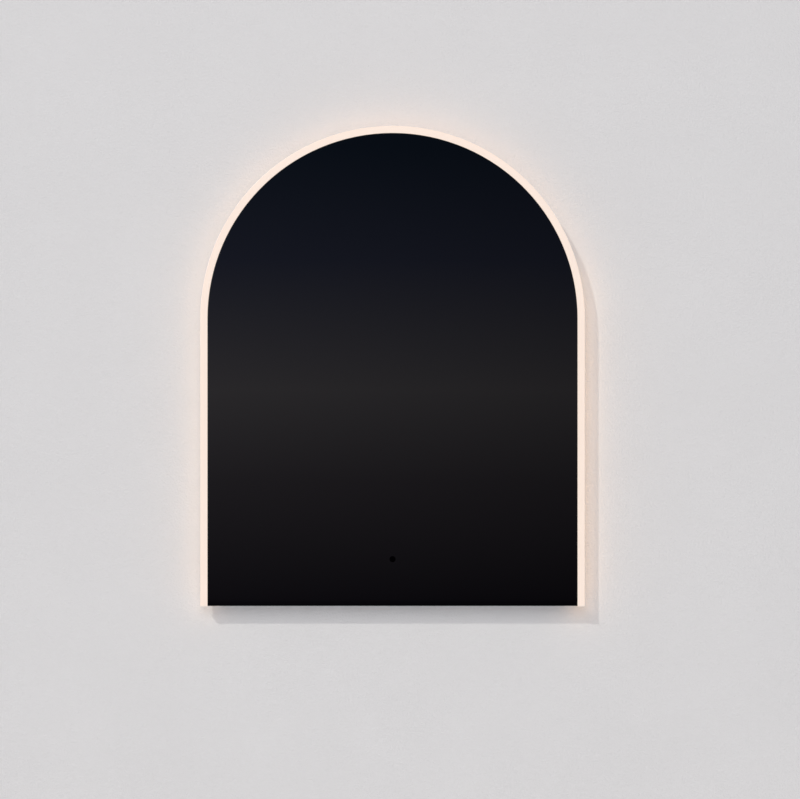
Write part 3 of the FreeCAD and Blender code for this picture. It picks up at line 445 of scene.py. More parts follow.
ease_node("upper_cross_rail", 0.0003, rail_aluminium, "mirror")
for node in ("hanger_left", "hanger_right"):
    ease_node(node, 0.0006, zinc, "mirror")


def rivet_blank(grip):
    """A set blind rivet: a low dome with the broken stem in its middle, and a swollen tail."""
    head, high, shank = RIVET_HEAD, RIVET_HIGH, RIVET_RADIUS
    outline = [(0, high * 0.62), (0.0009, high * 0.62), (0.0010, high * 0.95), (0.0016, high)]
    outline += [(head * 0.75, high * 0.72), (head, high * 0.12), (head, 0), (shank, 0), (shank, -grip)]
    outline += [(shank * 1.5, -grip - 0.0004), (shank, -grip - shank), (0, -grip - shank)]
    return new_object("rivet_blank", turned("rivet_blank", outline, sides=24))


rivet_stations = []
lip_rivet_x = (LIP_INNER + CROSS_RAIL_HALF) / 2
for share in (0.25, 0.75):
    height = CROSS_LOW + (CROSS_HIGH - CROSS_LOW) * share
    rivet_stations += [(at(side * lip_rivet_x, CROSS_RAIL_BACK, height), REARWARD) for side in SIDES]
for side in SIDES:
    for step in (-LEAF_REACH, LEAF_REACH):
        rivet_stations.append((at(side * HANGER_X + step, LEAF_BACK, LEAF_MIDDLE), REARWARD))
set_fixings("cross_rail_rivets", rivet_stations, rivet_blank(grip=0.0032), bright_zinc)


# ---- Wall bumpers: four soft rubber feet pressed on to the frame's lip, which hold the mirror off the
# wall and stop it sliding.

LIP_MIDDLE = 0.353
BUMPER_HEIGHT = -0.4415


def on_arch(radius, depth, degrees):
    """A point on the arch, its turn counted from the right-hand side."""
    angle = math.radians(degrees)
    return at(radius * math.cos(angle), depth, ARCH_HEIGHT + radius * math.sin(angle))


black_rubber = grained(
    "black_rubber", (0.018, 0.018, 0.019), (0.045, 0.045, 0.046), (0.62, 0.85),
    scale=420.0, relief=0.00008,
)
bumper_outline = [
    (0, 0.0), (0.0034, 0.0), (0.0039, -0.0004), (0.0047, -0.0042), (0.005, -0.0049), (0.0047, -0.0055),
    (0, -0.0055),
]
bumper = new_object("bumper", turned("bumper", bumper_outline, sides=32))
bumper_stations = [(at(side * LIP_MIDDLE, 0.0, BUMPER_HEIGHT), REARWARD) for side in SIDES]
bumper_stations += [(on_arch(LIP_MIDDLE, 0.0, degrees), REARWARD) for degrees in (45, 135)]
set_fixings("wall_bumpers", bumper_stations, bumper, black_rubber)


# ---- Gear plate: a shallow tray folded from sheet steel and powder coated white, screwed between the
# frame's legs. It carries the driver and the terminal box.

GEAR_MIDDLE = -0.320
GEAR_FLOOR = 0.0298
GEAR_TAB_SHEET = 0.0014
GEAR_TAB_DEPTH = 0.017

powder_coat = grained(
    "white_powder_coat", (0.70, 0.71, 0.71), (0.78, 0.78, 0.77), (0.42, 0.60),
    scale=520.0, relief=0.00007,
)
ease_node("gear_plate", 0.0005, powder_coat, "mirror")
gear_x = WEB_INNER - GEAR_TAB_SHEET
gear_stations = [(at(side * gear_x, GEAR_TAB_DEPTH, GEAR_MIDDLE), (-side, 0, 0)) for side in SIDES]
set_fixings("gear_plate_screws", gear_stations, screw_blank(grip=0.0029), bright_zinc)


# ---- Lamp driver: a sealed power supply in a white moulded case with an ear at each end. Its lid is
# clipped on, with raised ribs, and two screws hold the ears to the plate.

DRIVER_X = 0.040
DRIVER_LID_BACK = 0.0098
EAR_REACH, EAR_THICK = 0.095, 0.003
RIBS = 7
RIB_START, RIB_PITCH = 0.050, 0.0055
RIB_SIZE = (0.0024, 0.0030, 0.034)
DRIVER_PANEL = (0.078, 0.0016, 0.030)
MOULDED_EASE = 0.0004

white_plastic = grained(
    "white_moulded_plastic", (0.76, 0.76, 0.74), (0.82, 0.82, 0.80), (0.30, 0.44),
    scale=900.0, relief=0.00003,
)
ease_node("driver_case", 0.0004, white_plastic, "mirror")


def joined_meshes(name, meshes):
    """Several closed meshes as one mesh."""
    shape = bmesh.new()
    for mesh in meshes:
        shape.from_mesh(mesh)
    return made_mesh(name, shape)


def ribbed_lid():
    """The driver's lid, with ribs across its two ends and a raised panel between them."""
    raised = []
    for side in SIDES:
        raised += [(RIB_SIZE, DRIVER_X + side * (RIB_START + step * RIB_PITCH)) for step in range(RIBS)]
    raised.append((DRIVER_PANEL, DRIVER_X))
    parts = [eased_copy("driver_lid", 0.0008)]
    for size, x in raised:
        parts.append(box_mesh("raised", size, at(x, DRIVER_LID_BACK, GEAR_MIDDLE), ease=MOULDED_EASE))
    return joined_meshes("driver_lid_ribbed", parts)


set_piece("driver_lid", ribbed_lid(), white_plastic, "mirror")
ear_depth = GEAR_FLOOR - EAR_THICK
driver_stations = [(at(DRIVER_X + side * EAR_REACH, ear_depth, GEAR_MIDDLE), REARWARD) for side in SIDES]
set_fixings("driver_screws", driver_stations, screw_blank(grip=0.003), bright_zinc)


# ---- Terminal box: a grey moulded box for the mains joint, with its lid on two screws and a white
# screw-terminal block inside it.

BOX_X = -0.150
BOX_HALF_LONG, BOX_HALF_HIGH = 0.040, 0.023
BOX_LID_FACE = 0.0088
BOX_SCREW_INSET = 0.0045
BOX_PANEL = (0.050, 0.0012, 0.030)

grey_plastic = grained(
    "grey_moulded_plastic", (0.34, 0.35, 0.36), (0.40, 0.41, 0.42), (0.38, 0.52),
    scale=800.0, relief=0.00004,
)
ease_node("terminal_box", 0.0004, grey_plastic, "mirror")
ease_node("terminal_block", 0.0003, white_plastic, "mirror")


def panelled_lid():
    """The box's lid, with a raised panel moulded on it."""
    panel = box_mesh("panel", BOX_PANEL, at(BOX_X, BOX_LID_FACE, GEAR_MIDDLE), ease=MOULDED_EASE)
    return joined_meshes("box_lid_panelled", [eased_copy("terminal_box_lid", 0.0007), panel])


set_piece("terminal_box_lid", panelled_lid(), grey_plastic, "mirror")
lid_stations = []
for side in SIDES:
    x = BOX_X + side * (BOX_HALF_LONG - BOX_SCREW_INSET)
    height = GEAR_MIDDLE + side * (BOX_HALF_HIGH - BOX_SCREW_INSET)
    lid_stations.append((at(x, BOX_LID_FACE, height), REARWARD))
set_fixings("box_lid_screws", lid_stations, screw_blank(grip=0.0118), bright_zinc)


# ---- Cable gland: a black nylon body through the box's wall, a domed nut that clamps the cable, and the
# rubber seal between them.

black_nylon = grained(
    "black_nylon", (0.020, 0.020, 0.021), (0.040, 0.040, 0.042), (0.34, 0.52),
    scale=600.0, relief=0.00004,
)
ease_node("cable_gland", 0.0003, black_nylon, "mirror")
ease_node("gland_nut", 0.0004, black_nylon, "mirror")
ease_node("gland_seal", 0.0, black_rubber, "mirror")


# ---- Lamp strip: a white flexible circuit stuck along the frame's lamp web, with a lamp package at every
# 33 mm behind the opal rim.

OVERALL_FOOT = -0.550
RIM_INNER = 0.385
STRIP_RADIUS = RIM_INNER - 0.003
STRIP_DEPTH = 0.0295
STRIP_HALF = 0.004
STRIP_THICK = 0.0008
STRIP_FOOT = OVERALL_FOOT + 0.007
STRIP_POINTS = 161
COPPER_EDGE = 0.0032
LAMP_PITCH = 0.0333
LAMP_SIZE = (0.0035, 0.0010, 0.0028)
LAMP_RISE = 0.0013
LAMP_FOOT = 0.0011


def arch_path_tree():
    """A line up the right leg, round the arch and down the left leg, at one radius."""
    tree, given = start_tree("arch_path", Radius="Float", Foot="Float", Arch_Height="Float", Points="Int")
    radius, foot, high = given["Radius"], given["Foot"], given["Arch Height"]
    leg = maths(tree, "SUBTRACT", high, foot)
    half_turn = maths(tree, "MULTIPLY", radius, math.pi)
    total = maths(tree, "ADD", maths(tree, "MULTIPLY", leg, 2.0), half_turn)
    line = add(tree, "GeometryNodeCurvePrimitiveLine", {"Start": (0, 0, 0), "End": (0, 0, 1)}).outputs[0]
    line = add(tree, "GeometryNodeResampleCurve", {"Curve": line, "Count": given["Points"]}).outputs[0]
    share = add(tree, "GeometryNodeSplineParameter").outputs["Factor"]
    run = maths(tree, "MULTIPLY", share, total)
    past_leg = maths(tree, "SUBTRACT", run, leg)
    turn = maths(tree, "DIVIDE", past_leg, radius)
    turn = maths(tree, "MINIMUM", maths(tree, "MAXIMUM", turn, 0.0), math.pi)
    below = maths(tree, "MAXIMUM", maths(tree, "MULTIPLY", past_leg, -1.0), 0.0)
    beyond = maths(tree, "MAXIMUM", maths(tree, "SUBTRACT", past_leg, half_turn), 0.0)
    x = maths(tree, "MULTIPLY", radius, maths(tree, "COSINE", turn))
    rise = maths(tree, "MULTIPLY", radius, maths(tree, "SINE", turn))
    z = maths(tree, "SUBTRACT", maths(tree, "ADD", high, rise), maths(tree, "ADD", below, beyond))
    place = add(tree, "ShaderNodeCombineXYZ", {0: x, 2: z}).outputs[0]
    bent = add(tree, "GeometryNodeSetPosition", {"Geometry": line, "Position": place}).outputs[0]
    inputs = {"Curve": bent, "Normal": (0, 1, 0)}
    held = add(tree, "GeometryNodeSetCurveNormal", inputs, mode="FREE").outputs[0]
    add(tree, "NodeGroupOutput", {0: held})
    return tree


ARCH_PATH = arch_path_tree()


def add_arch(tree, given, points):
    inputs = {label: given[label] for label in ("Radius", "Foot", "Arch Height")}
    return add(tree, "GeometryNodeGroup", {**inputs, "Points": points}, node_tree=ARCH_PATH).outputs[0]


def sweep(tree, path, section):
    """A solid from a section's object carried along a path."""
    profile = add(tree, "GeometryNodeObjectInfo", {"Object": section}).outputs["Geometry"]
    inputs = {"Curve": path, "Profile Curve": profile, "Fill Caps": True}
    return add(tree, "GeometryNodeCurveToMesh", inputs).outputs[0]


def lamp_strip_tree():
    """The circuit swept along the arch, and a lamp package on it at every pitch."""
    tree, given = start_tree(
        "lamp_strip", Radius="Float", Foot="Float", Arch_Height="Float", Pitch="Float", Lamp="Object",
        Circuit="Object", Finish="Material",
    )
    path = add_arch(tree, given, STRIP_POINTS)
    circuit = sweep(tree, path, given["Circuit"])
    lamp = add(tree, "GeometryNodeObjectInfo", {"Object": given["Lamp"]}).outputs["Geometry"]
    points = add(tree, "GeometryNodeCurveToPoints", {"Curve": path, "Length": given["Pitch"]}, mode="LENGTH")
    inputs = {"Points": points.outputs["Points"], "Instance": lamp, "Rotation": points.outputs["Rotation"]}
    lamps = add(tree, "GeometryNodeInstanceOnPoints", inputs).outputs[0]
    both = tree.nodes.new("GeometryNodeJoinGeometry")
    tree.links.new(circuit, both.inputs[0])
    tree.links.new(lamps, both.inputs[0])
    end_tree(tree, both.outputs[0], given["Finish"])
    return tree


def section_curve(name, corners):
    """A closed section for a sweep: each corner is how far it lies outside the path, and its depth."""
    data = bpy.data.curves.new(name, "CURVE")
    data.dimensions = "2D"
    spline = data.splines.new("POLY")
    spline.points.add(len(corners) - 1)
    for point, (across, depth) in zip(spline.points, corners):
        point.co = (-depth, -across, 0, 1)
    spline.use_cyclic_u = True
    return new_object(name, data)


def strip_finish():
    """White solder mask with a copper edge, and warm phosphor on the lamps."""
    material, tree, shader = start_finish("lamp_circuit", roughness=0.4)
    place = object_place(tree)
    x, y, z = split(tree, place)
    radius, _ = arch_radius(tree, x, z)
    lamp = maths(tree, "GREATER_THAN", radius, STRIP_RADIUS + LAMP_FOOT)
    off = maths(tree, "ABSOLUTE", maths(tree, "ADD", y, STRIP_DEPTH))
    pad = maths(tree, "GREATER_THAN", off, COPPER_EDGE)
    speckle = mottle(tree, place, scale=600.0)
    mask = blend_colours(tree, speckle, (0.74, 0.74, 0.72), (0.82, 0.82, 0.80))
    bare = blend_colours(tree, pad, mask, (0.62, 0.36, 0.20))
    tree.links.new(blend_colours(tree, lamp, bare, (0.86, 0.66, 0.20)), shader.inputs["Base Color"])
    return material


lamp_circuit = strip_finish()
circuit_section = section_curve("circuit_section", [
    (0.0, STRIP_DEPTH - STRIP_HALF), (STRIP_THICK, STRIP_DEPTH - STRIP_HALF),
    (STRIP_THICK, STRIP_DEPTH + STRIP_HALF), (0.0, STRIP_DEPTH + STRIP_HALF),
])
lamp_package = new_object(
    "lamp_package", box_mesh("lamp_package", LAMP_SIZE, (-STRIP_DEPTH, -LAMP_RISE, 0), ease=0.0002)
)
strip_mesh = grow(
    "lamp_strip", bpy.data.meshes.new("strip_seed"), lamp_strip_tree(), Radius=STRIP_RADIUS,
    Foot=STRIP_FOOT, Arch_Height=ARCH_HEIGHT, Pitch=LAMP_PITCH, Lamp=lamp_package,
    Circuit=circuit_section, Finish=lamp_circuit,
)
for tool in (circuit_section, lamp_package):
    bpy.data.objects.remove(tool)
set_piece("lamp_strip", strip_mesh, lamp_circuit, "mirror")


# ---- Leads: white sheathed leads inside the mirror, from the driver to the lamps and the sensor, from the
# box to the demister, and between box and driver. Clips and a grommet hold them.

LEAD_DEPTH = 0.0208
SENSOR_DEPTH = 0.0305
FILM_DEPTH = 0.0322
LAMP_EXIT_HEIGHT = -0.328
LAMP_LEAD, SIGNAL_LEAD, MAINS_LEAD = 0.0035, 0.003, 0.0065
GROMMET_DEPTH, GROMMET_HEIGHT = 0.02875, -0.400

white_sheath = grained(
    "white_lead_sheath", (0.74, 0.74, 0.72), (0.82, 0.82, 0.80), (0.30, 0.42),
    scale=300.0, relief=0.00003,
)


def run_lead(node, route, diameter):
    """A round lead on a smooth line through the space of its route's points."""
    data = bpy.data.curves.new(node, "CURVE")
    data.dimensions = "3D"
    data.bevel_depth = diameter / 2
    data.bevel_resolution = 4
    data.use_fill_caps = True
    spline = data.splines.new("NURBS")
    spline.points.add(len(route) - 1)
    for point, place in zip(spline.points, route):
        point.co = (*place, 1)
    spline.order_u = 3
    spline.use_endpoint_u = True
    spline.resolution_u = 10
    holder = new_object(node + "_line", data)
    mesh = plain_mesh(holder)
    bpy.data.objects.remove(holder)
    set_piece(node, mesh, white_sheath, "mirror")


run_lead("lamp_lead", [
    at(0.130, LEAD_DEPTH, LAMP_EXIT_HEIGHT), at(0.1653, LEAD_DEPTH, LAMP_EXIT_HEIGHT),
    at(0.2030, 0.0218, -0.3438), at(0.2332, 0.0228, -0.3698), at(0.2660, 0.0268, -0.3942),
    at(0.3037, GROMMET_DEPTH, GROMMET_HEIGHT), at(0.3818, GROMMET_DEPTH, GROMMET_HEIGHT),
], LAMP_LEAD)
run_lead("sensor_lead", [
    at(0, SENSOR_DEPTH, -0.4365), at(0, SENSOR_DEPTH, -0.4148), at(0, LEAD_DEPTH, -0.3798),
    at(0, LEAD_DEPTH, -0.342),
], SIGNAL_LEAD)
run_lead("demister_lead", [
    at(BOX_X, LEAD_DEPTH, -0.297), at(BOX_X, LEAD_DEPTH, -0.2828), at(BOX_X, FILM_DEPTH, -0.2582),
    at(BOX_X, FILM_DEPTH, -0.240),
], SIGNAL_LEAD)
run_lead("mains_jumper", [at(x, LEAD_DEPTH, GEAR_MIDDLE) for x in (-0.110, -0.080, -0.050)], MAINS_LEAD)
ease_node("lead_clips", 0.0, black_nylon, "mirror")
grommet_outline = [(LAMP_LEAD / 2, 0.0010), (0.0040, 0.0010), (0.0045, 0.0006), (0.0045, 0.0)]
grommet_outline += [(0.0035, 0.0), (0.0035, -0.0015), (LAMP_LEAD / 2, -0.0015)]
grommet = new_object("grommet", turned("grommet", grommet_outline, sides=32))
grommet_place = at(WEB_INNER, GROMMET_DEPTH, GROMMET_HEIGHT)
set_fixings("lead_grommet", [(grommet_place, (-1, 0, 0))], grommet, black_rubber)


# ---- Mirror glass: 5 mm silvered float glass with its edges ground, backed with grey paint. Its face is
# painted with a dark reflection in place of the room it would mirror. The touch mark is a small black spot
# printed near its foot. Foam tape bonds it to the frame.

TOUCH_HEIGHT = -0.4515
TOUCH_RADIUS = 0.0063
OVERALL_TOP = 0.450
GLASS_HALF = 0.384
# Painted reflection: dark tones of a mirrored room up the face from foot to top, brightest a little below
# the middle.
PAINTED_REFLECTION_TONES = [
    (0.0, (0.0032, 0.0028, 0.0038)), (0.26, (0.0096, 0.0086, 0.0100)), (0.45, (0.0180, 0.0168, 0.0182)),
    (0.72, (0.0066, 0.0074, 0.0122)), (0.96, (0.0026, 0.0040, 0.0070)),
]
# Painted reflection: lighter towards the left of the face and darker towards the right.
REFLECTION_LEFT_GAIN, REFLECTION_RIGHT_GAIN = 1.22, 0.80
SQUARE_ON = 0.9
POLISHED, MATT = 0.03, 0.55


def mirror_finish():
    """Painted dark reflection in front, lighter to the left; ground glass at the edges, backing paint
    behind.
    """
    material, tree, shader = start_finish("silvered_glass", POLISHED)
    coordinates = add(tree, "ShaderNodeTexCoord").outputs
    place = coordinates["Object"]
    x, y, z = split(tree, place)
    facing = split(tree, coordinates["Normal"])[1]
    front = maths(tree, "LESS_THAN", facing, -SQUARE_ON)
    back = maths(tree, "GREATER_THAN", facing, SQUARE_ON)
    # The face's colour is a painted reflection that changes with height.
    ramp = add(tree, "ShaderNodeValToRGB", {0: remap(tree, z, 0.0, 1.0, OVERALL_FOOT, OVERALL_TOP)})
    stops = ramp.color_ramp.elements
    while len(stops) < len(PAINTED_REFLECTION_TONES):
        stops.new(0.5)
    for stop, (position, colour) in zip(stops, PAINTED_REFLECTION_TONES):
        stop.position = position
        stop.color = (*colour, 1.0)
    # Scale the painted reflection lighter to the left and darker to the right.
    gain = remap(tree, x, REFLECTION_LEFT_GAIN, REFLECTION_RIGHT_GAIN, -GLASS_HALF, GLASS_HALF)
    inputs = {0: ramp.outputs[0], "Scale": gain}
    painted_reflection = add(tree, "ShaderNodeVectorMath", inputs, operation="SCALE").outputs[0]
    reach = hypotenuse(tree, x, maths(tree, "SUBTRACT", z, TOUCH_HEIGHT))
    printed = maths(tree, "LESS_THAN", reach, TOUCH_RADIUS)
    painted_reflection = blend_colours(tree, printed, painted_reflection, (0.0008, 0.0006, 0.0009))
    paint = blend_colours(tree, mottle(tree, place, scale=9.0), (0.36, 0.38, 0.39), (0.42, 0.44, 0.45))
    ground = blend_colours(tree, mottle(tree, place, scale=500.0), (0.05, 0.085, 0.08), (0.10, 0.15, 0.14))
    colour = blend_colours(tree, front, blend_colours(tree, back, ground, paint), painted_reflection)
    tree.links.new(colour, shader.inputs["Base Color"])
    tree.links.new(front, shader.inputs["Metallic"])
    tree.links.new(remap(tree, front, MATT, POLISHED), shader.inputs["Roughness"])
    return material


def show_node(node, material):
    """Show a CAD node as it is, under a material of its own."""
    mesh = nodes[node].data
    mesh.materials.clear()
    mesh.materials.append(material)


show_node("mirror_glass", mirror_finish())
foam_tape = grained(
    "foam_tape", (0.60, 0.60, 0.58), (0.72, 0.72, 0.70), (0.75, 0.90),
    scale=260.0, relief=0.0001,
)
show_node("glass_bond_tape", foam_tape)


# ---- Demister pad: a thin heating film stuck to the back of the glass, with a printed track that runs to
# and fro, and a black moulded cover over its joint.

DEMISTER_MIDDLE = -0.110
TRACK_PITCH = 0.010
TRACK_HALF = 0.0013
TRACK_REACH = 0.188
TRACK_RISE = 0.120
RETURN_REACH = 0.194
RETURN_DROP = 0.1265


def bar(tree, x, z, left, right, low, high):
    """1 inside one straight stretch of track, from the middle of one end to that of the other."""
    across = maths(tree, "ABSOLUTE", maths(tree, "SUBTRACT", x, (left + right) / 2))
    along = maths(tree, "ABSOLUTE", maths(tree, "SUBTRACT", z, (low + high) / 2))
    wide = maths(tree, "LESS_THAN", across, (right - left) / 2 + TRACK_HALF)
    tall = maths(tree, "LESS_THAN", along, (high - low) / 2 + TRACK_HALF)
    return maths(tree, "MULTIPLY", wide, tall)


def track_pattern(tree, x, z):
    """1 on the track: level rows joined at alternate ends, and a return line, both ends at the joint."""
    row = maths(tree, "DIVIDE", maths(tree, "ADD", z, TRACK_RISE + TRACK_PITCH / 2), TRACK_PITCH)
    off_row = maths(tree, "ABSOLUTE", maths(tree, "SUBTRACT", maths(tree, "FRACT", row), 0.5))
    level = maths(tree, "LESS_THAN", off_row, TRACK_HALF / TRACK_PITCH)
    gap = maths(tree, "FLOOR", maths(tree, "ADD", row, 0.5))
    odd = maths(tree, "GREATER_THAN", maths(tree, "FRACT", maths(tree, "MULTIPLY", gap, 0.5)), 0.25)
    way = maths(tree, "SUBTRACT", maths(tree, "MULTIPLY", odd, 2.0), 1.0)
    off_end = maths(tree, "SUBTRACT", maths(tree, "MULTIPLY", x, way), TRACK_REACH)
    turn = maths(tree, "LESS_THAN", maths(tree, "ABSOLUTE", off_end), TRACK_HALF)
    field = bar(tree, x, z, -TRACK_REACH, TRACK_REACH, -TRACK_RISE, TRACK_RISE)
    track = maths(tree, "MULTIPLY", maths(tree, "MAXIMUM", level, turn), field)
    spare = bar(tree, x, z, -TRACK_REACH, BOX_X, -TRACK_RISE, -TRACK_RISE)
    track = maths(tree, "MULTIPLY", track, maths(tree, "SUBTRACT", 1.0, spare))
    for stretch in (
        (TRACK_REACH, RETURN_REACH, TRACK_RISE, TRACK_RISE),
        (RETURN_REACH, RETURN_REACH, -RETURN_DROP, TRACK_RISE),
        (BOX_X, RETURN_REACH, -RETURN_DROP, -RETURN_DROP),
    ):
        track = maths(tree, "MAXIMUM", track, bar(tree, x, z, *stretch))
    return track


def heating_film():
    """Amber film with one dark printed track."""
    material, tree, shader = start_finish("heating_film", roughness=0.35)
    place = object_place(tree)
    x, _, height = split(tree, place)
    track = track_pattern(tree, x, maths(tree, "SUBTRACT", height, DEMISTER_MIDDLE))
    film = blend_colours(tree, mottle(tree, place, scale=40.0), (0.58, 0.52, 0.40), (0.66, 0.60, 0.47))
    tree.links.new(blend_colours(tree, track, film, (0.20, 0.17, 0.15)), shader.inputs["Base Color"])
    tree.links.new(remap(tree, track, 0.30, 0.55), shader.inputs["Roughness"])
    raise_bump(tree, shader, track, distance=0.00005)
    return material


show_node("demister_pad", heating_film())
ease_node("demister_joint_cover", 0.0006, black_nylon, "mirror")


# ---- Touch sensor: a black moulded module behind the touch mark, which feels a finger through the glass.
# A thin soft pad fills the space between the two.

ease_node("touch_sensor", 0.0006, black_nylon, "mirror")
ease_node("sensor_pad", 0.0, black_rubber, "mirror")


# ---- Opal rim: a hollow acrylic profile bent round the arch, open to the lamps on its inner side, which
# glows warm white. Screws through the frame's shelf hold it, and a cap closes each foot.

OUTER_RADIUS = 0.400
RIM_FRONT = 0.040
RIM_BACK = 0.025
RIM_WALL = 0.0025
RIM_LIP = 0.006
CRISP, INNER_ROUND, REAR_ROUND, FRONT_ROUND = 0.0004, 0.001, 0.0012, 0.0016
RIM_FOOT = OVERALL_FOOT + 0.002
RIM_POINTS = 181
ROUND_STEPS = 4
SHELF_BACK = 0.0235
SCREW_RING = RIM_INNER + 0.003
OPAL = (0.52, 0.50, 0.48)
DEEP_SHARE = 0.97


def opal_finish(name, glow):
    """Opal acrylic: satin, with the faintest cloud in it, lit from inside."""
    material, tree, shader = start_finish(
        name, roughness=0.3, Emission_Color=(*glow, 1.0), Emission_Strength=1.0
    )
    cloud = mottle(tree, along_arch(tree, 1.0, 1.0), scale=30.0, detail=2.0)
    deep = tuple(DEEP_SHARE * part for part in OPAL)
    tree.links.new(blend_colours(tree, cloud, deep, OPAL), shader.inputs["Base Color"])
    tree.links.new(remap(tree, cloud, 0.26, 0.36), shader.inputs["Roughness"])
    drawn = mottle(tree, along_arch(tree, 1.0, 0.05), scale=500.0, detail=2.0)
    raise_bump(tree, shader, drawn, distance=0.00002)
    return material


def rim_tree():
    """The rim's section carried up the right leg, round the arch and down the left leg."""
    tree, given = start_tree(
        "arch_sweep", Radius="Float", Foot="Float", Arch_Height="Float", Section="Object", Finish="Material"
    )
    swept = sweep(tree, add_arch(tree, given, RIM_POINTS), given["Section"])
    end_tree(tree, swept, given["Finish"])
    return tree


def rounded(corners):
    """An outline from corners with a radius each."""
    points = []
    count = len(corners)
    for index, (x, y, radius) in enumerate(corners):
        corner = Vector((x, y))
        before = (Vector(corners[index - 1][:2]) - corner).normalized()
        after = (Vector(corners[(index + 1) % count][:2]) - corner).normalized()
        start, finish = corner + before * radius, corner + after * radius
        for step in range(ROUND_STEPS + 1):
            share = step / ROUND_STEPS
            near = start.lerp(corner, share)
            points.append(near.lerp(corner.lerp(finish, share), share))
    return [(point.x, point.y) for point in points]


rim_outline = rounded([
    (RIM_INNER, RIM_FRONT, CRISP),
    (OUTER_RADIUS, RIM_FRONT, FRONT_ROUND),
    (OUTER_RADIUS, RIM_BACK, REAR_ROUND),
    (RIM_INNER, RIM_BACK, CRISP),
    (RIM_INNER, RIM_BACK + RIM_WALL, CRISP),
    (OUTER_RADIUS - RIM_WALL, RIM_BACK + RIM_WALL, INNER_ROUND),
    (OUTER_RADIUS - RIM_WALL, RIM_FRONT - RIM_WALL, INNER_ROUND),
    (RIM_INNER + RIM_WALL, RIM_FRONT - RIM_WALL, CRISP),
    (RIM_INNER + RIM_WALL, RIM_FRONT - RIM_LIP, CRISP),
    (RIM_INNER, RIM_FRONT - RIM_LIP, CRISP),
])
rim_section = section_curve("rim_section", [(radius - OUTER_RADIUS, depth) for radius, depth in rim_outline])
opal = opal_finish("opal_acrylic", (0.44, 0.30, 0.22))
rim_mesh = grow(
    "diffuser_rim", bpy.data.meshes.new("rim_seed"), rim_tree(), Radius=OUTER_RADIUS,
    Foot=RIM_FOOT, Arch_Height=ARCH_HEIGHT, Section=rim_section, Finish=opal,
)
bpy.data.objects.remove(rim_section)
set_piece("diffuser_rim", rim_mesh, opal, "mirror")

rim_stations = []
for share in (0.25, 0.75):
    height = RIM_FOOT + (ARCH_HEIGHT - RIM_FOOT) * share
    rim_stations += [(at(side * SCREW_RING, SHELF_BACK, height), REARWARD) for side in SIDES]
rim_stations += [(on_arch(SCREW_RING, SHELF_BACK, degrees), REARWARD) for degrees in (45, 90, 135)]
set_fixings("rim_screws", rim_stations, screw_blank(grip=0.0038), bright_zinc)

opal_cap = opal_finish("opal_cap_plastic", (0.36, 0.26, 0.20))
for node in ("end_cap_left", "end_cap_right"):
    ease_node(node, 0.0003, opal_cap, "mirror")


# ---- The rim's glow on the wall: warm lamps along the rim's outer side and its back, which travel with
# the mirror. Each side has its own brightness, and the arch glows a little stronger and paler.

GLOW = (1.0, 0.60, 0.28)
ARCH_GLOW = (1.0, 0.65, 0.42)
ARCH_GAIN = 0.12
ARCH_LAMPS = 12
SHOULDER_TILT = 0.5
SIDE_GLOW, SIDE_DIM = 1.9, 0.18
SIDE_LAMP_WIDTH, SIDE_LAMP_DEPTH, SIDE_LAMP_GAP = 0.014, 0.0325, 0.0004
BACK_GLOW, BACK_DIM, BACK_LIFT = 1.4, 0.42, 0.8
BACK_LAMP_WIDTH, BACK_LAMP_INSET, BACK_LAMP_GAP = 0.0095, 0.0052, 0.0003
FOOT_GLOW, FOOT_LEAN = 10.0, 0.18
FOOT_LAMP_SIZE, FOOT_LAMP_AIM = (0.014, 0.012), (0, 0.6, -1)
FOOT_LAMP_X, FOOT_LAMP_DEPTH, FOOT_LAMP_GAP = 0.392, 0.032, 0.0004


def area_lamp(name, size, radiance, colour=(1, 1, 1)):
    """A rectangular lamp that the camera doesn't see."""
    data = bpy.data.lights.new(name, "AREA")
    data.shape = "RECTANGLE"
    data.size, data.size_y = size
    data.color = colour
    data.energy = radiance * math.pi * size[0] * size[1]
    lamp = new_object(name, data)
    lamp.visible_camera = False
    return lamp


def glow_lamp(name, place, direction, run, size, radiance, gain):
    """A lamp of the glow; run is the way of its long side. Gain makes it brighter or dimmer than its
    fellows."""
    rise = max(place.z - ARCH_HEIGHT, 0.0) / OUTER_RADIUS
    colour = [warm + (pale - warm) * rise for warm, pale in zip(GLOW, ARCH_GLOW)]
    lamp = area_lamp(name, size, radiance * (1 + gain + ARCH_GAIN * rise), colour)
    back = -Vector(direction).normalized()
    side = Vector(run).normalized()
    turn = Matrix((side, back.cross(side), back)).transposed().to_4x4()
    lamp.matrix_world = Matrix.Translation(place) @ turn
    lamp.visible_glossy = False
    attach(lamp, "mirror")


leg_length = ARCH_HEIGHT - OVERALL_FOOT
leg_middle = Vector((0, 0, (ARCH_HEIGHT + OVERALL_FOOT) / 2))
arch_centre = Vector((0, 0, ARCH_HEIGHT))
chord = math.pi * OUTER_RADIUS / ARCH_LAMPS
stretches = []
for side in SIDES:
    stretches.append((f"leg_{side}", leg_middle, Vector((side, 0, 0)), leg_length, side))
    foot = Vector((side * FOOT_LAMP_X, -FOOT_LAMP_DEPTH, OVERALL_FOOT - FOOT_LAMP_GAP))
    glow_lamp(
        f"foot_glow_{side}", foot, FOOT_LAMP_AIM, (1, 0, 0), FOOT_LAMP_SIZE, FOOT_GLOW, FOOT_LEAN * side
    )
for step in range(ARCH_LAMPS):
    angle = math.pi * (step + 0.5) / ARCH_LAMPS
    out = Vector((math.cos(angle), 0, math.sin(angle)))
    tilt = -abs(out.x) if step else SHOULDER_TILT
    stretches.append((f"arch_{step}", arch_centre, out, chord, tilt))
